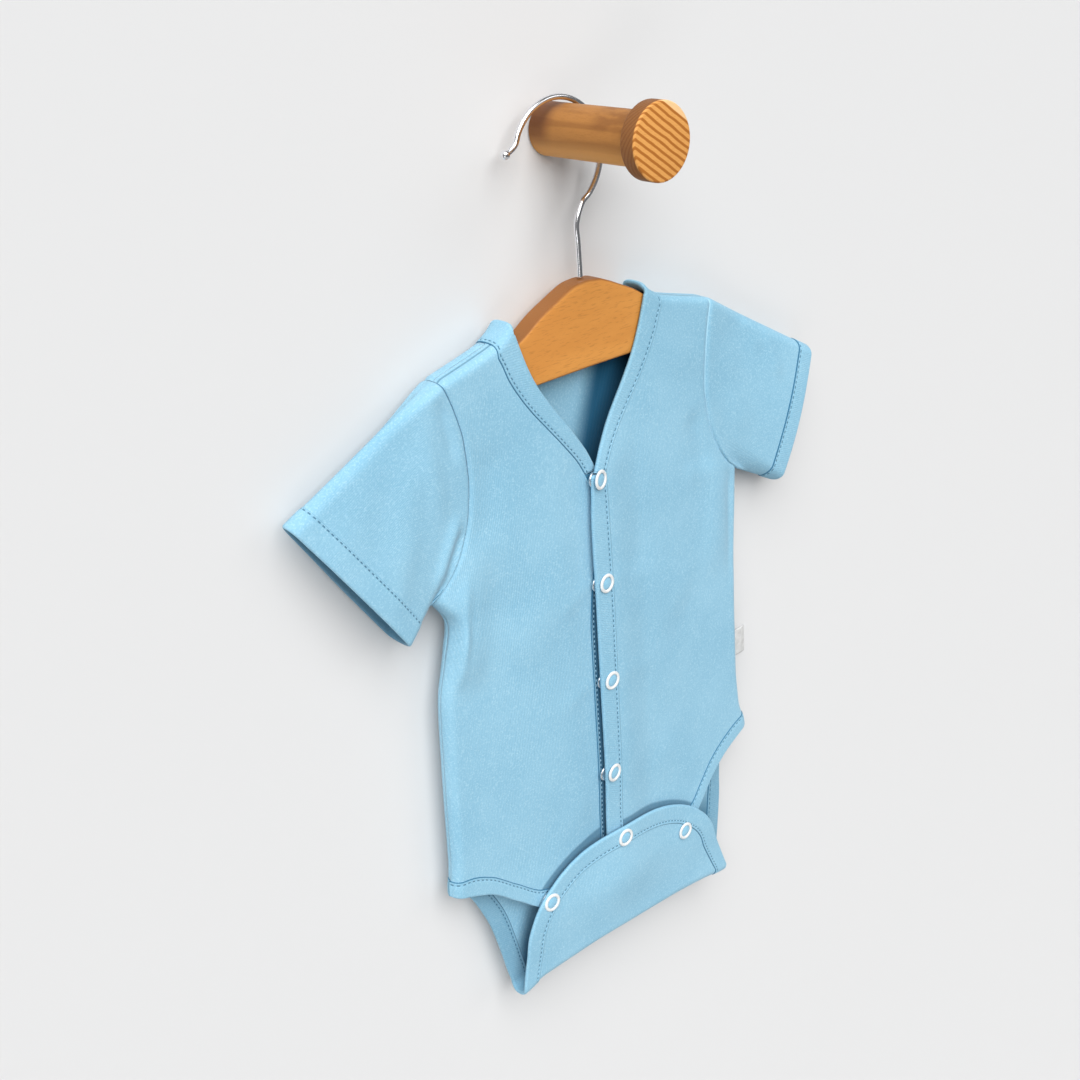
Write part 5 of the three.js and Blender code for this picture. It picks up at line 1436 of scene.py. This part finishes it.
def put_on_snaps(name, points, faces, lifts, finish, shifts=(0,) * 7):
    """One piece of seven copies of a small form, each standing on its snap's place.

    Each is tilted to the right about its height, as the placket rolls there.
    """
    all_points, all_faces = [], []
    for (x, z), layer, lift, tilt, shift in zip(SNAP_PLACES, SNAP_LAYERS, lifts, SNAP_TILTS, shifts):
        sin, cos = math.sin(math.radians(tilt)), math.cos(math.radians(tilt))
        place, normal = on_body(x - shift, z, -1, layer, lift + 2.4 * sin)
        normal = np.array([[cos, -sin, 0], [sin, cos, 0], [0, 0, 1]]) @ normal
        offset = sum(len(part) for part in all_points)
        all_faces += [[index + offset for index in face] for face in faces]
        all_points.append(facing(points, place, normal))
    return put_solid(name, np.vstack(all_points), all_faces, finish)


enamel = Finish("white_enamel", {"Specular IOR Level": 0.5, "Coat Weight": 0.3})
enamel_spot = enamel.node("ShaderNodeTexCoord").outputs["Object"]
enamel_cloud = enamel.noise(enamel_spot, 500, 2)
enamel_white = enamel.mix(enamel_cloud.clamped(0.3, 0.8), (0.86, 0.87, 0.86, 1), (0.78, 0.8, 0.8, 1))
enamel.feed(enamel.shader.inputs["Base Color"], enamel_white)
enamel.feed(enamel.shader.inputs["Roughness"], enamel_cloud * 0.15 + 0.2)

ring_points, ring_quads = turned(RING_PROFILE[:-1], 40)
ring_count = len(RING_PROFILE) - 1
around = np.arange(40)
close = np.stack([
    (ring_count - 1) * 40 + around, (ring_count - 1) * 40 + (around + 1) % 40, (around + 1) % 40, around,
], 1)
ring_faces = np.vstack([ring_quads, close]).tolist()
rings = put_on_snaps("snap_rings", ring_points, ring_faces, [RING_LIFT] * 7, enamel)
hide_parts(*[f"snap_ring_{i}" for i in range(1, 8)])

centre_turn = np.linspace(0.06, math.pi / 2, 7)
centre_profile = np.vstack([
    np.stack([3.3 * np.sin(centre_turn), 0.75 * np.cos(centre_turn)], 1), [(3.3, -0.3), (0.2, -0.3)],
])
snap_cloth = Finish("snap_centre_cloth", {"Roughness": 0.9, "Sheen Weight": 0.2, "Specular IOR Level": 0.2})
snap_spot = snap_cloth.node("ShaderNodeTexCoord").outputs["Object"]
snap_weave = snap_cloth.noise(snap_spot, 1800, 2)
snap_cloth.feed(
    snap_cloth.shader.inputs["Base Color"],
    snap_cloth.mix(snap_weave.clamped(0.3, 0.7), (0.315, 0.6, 0.775, 1), (0.25, 0.52, 0.7, 1)),
)
snap_cloth.relief(snap_weave, 0.00008, 0.5)
centre_points, centre_quads = turned(centre_profile, 28)
centre_points, centre_faces = close_ends(centre_points, centre_quads, 28)
centres = put_on_snaps("snap_centres", centre_points, centre_faces, [RING_LIFT - 0.1] * 7, snap_cloth)

steel = Finish("snap_steel", {"Metallic": 1, "Base Color": (0.8, 0.8, 0.82, 1)})
steel_spot = steel.node("ShaderNodeTexCoord").outputs["Object"]
steel_haze = steel.noise(steel_spot, 700, 2)
steel.feed(steel.shader.inputs["Roughness"], steel_haze * 0.2 + 0.2)
steel.relief(steel_haze, 0.00003, 0.4)
socket_profile = [
    (0.2, 0), (2.4, 0), (2.7, 0.12), (3.6, 0.12), (3.9, 0), (4, -0.4), (3.9, -0.85), (3.6, -1), (0.2, -1),
]
socket_points, socket_quads = turned(socket_profile, 28)
socket_points, socket_faces = close_ends(socket_points, socket_quads, 28)
sockets = put_on_snaps("snap_sockets", socket_points, socket_faces, SOCKET_LIFTS, steel, SOCKET_SHIFTS)
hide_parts(*[f"snap_socket_{i}" for i in range(1, 8)])


# Side label: a short loop of blank white satin tape, folded in half and caught in the side seam.
LABEL_WIDTH = 10.0
LABEL_HEIGHT = 16.0
LABEL_Z = -297.0
tape = Finish("satin_tape", {"Roughness": 0.5, "Sheen Weight": 0.2})
tape_thread = tape.node("ShaderNodeUVMap", {"uv_map": "cloth"}).outputs[0]
tape_axis = tape.node("ShaderNodeSeparateXYZ", (), {0: tape_thread})
tape_rib = (Value(tape, tape_axis.outputs[1]) * (2 * math.pi / 0.0005)).sine()
tape_cloud = tape.noise(tape_thread, 300, 2)
tape_white = tape.mix(tape_cloud.clamped(0.3, 0.7), (0.7, 0.7, 0.69, 1), (0.58, 0.58, 0.57, 1))
tape.feed(tape.shader.inputs["Base Color"], tape_white)
tape.relief(tape_rib, 0.00003, 0.6)
label_start = side_x(1, LABEL_Z) - 1.5
out = np.linspace(0, LABEL_WIDTH + 1.5, 24)[None, :]
high = np.linspace(-LABEL_HEIGHT / 2, LABEL_HEIGHT / 2, 20)[:, None]
bow = -0.5 * np.sin(math.pi * out / (LABEL_WIDTH + 2)) + 0 * high
loop = 0.5 * np.sqrt(np.clip(1 - (out / (LABEL_WIDTH + 1.5)) ** 8, 0.01, 1)) + 0 * high
label_grid = lambda face: np.stack(
    np.broadcast_arrays(label_start + out, HANGER_Y + bow + face * loop, LABEL_Z + high), -1)
label_pattern = np.stack(np.broadcast_arrays(out, high), -1)
label = put_cloth("side_tape", label_grid(-1), label_grid(1), label_pattern, tape)
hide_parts("side_label")
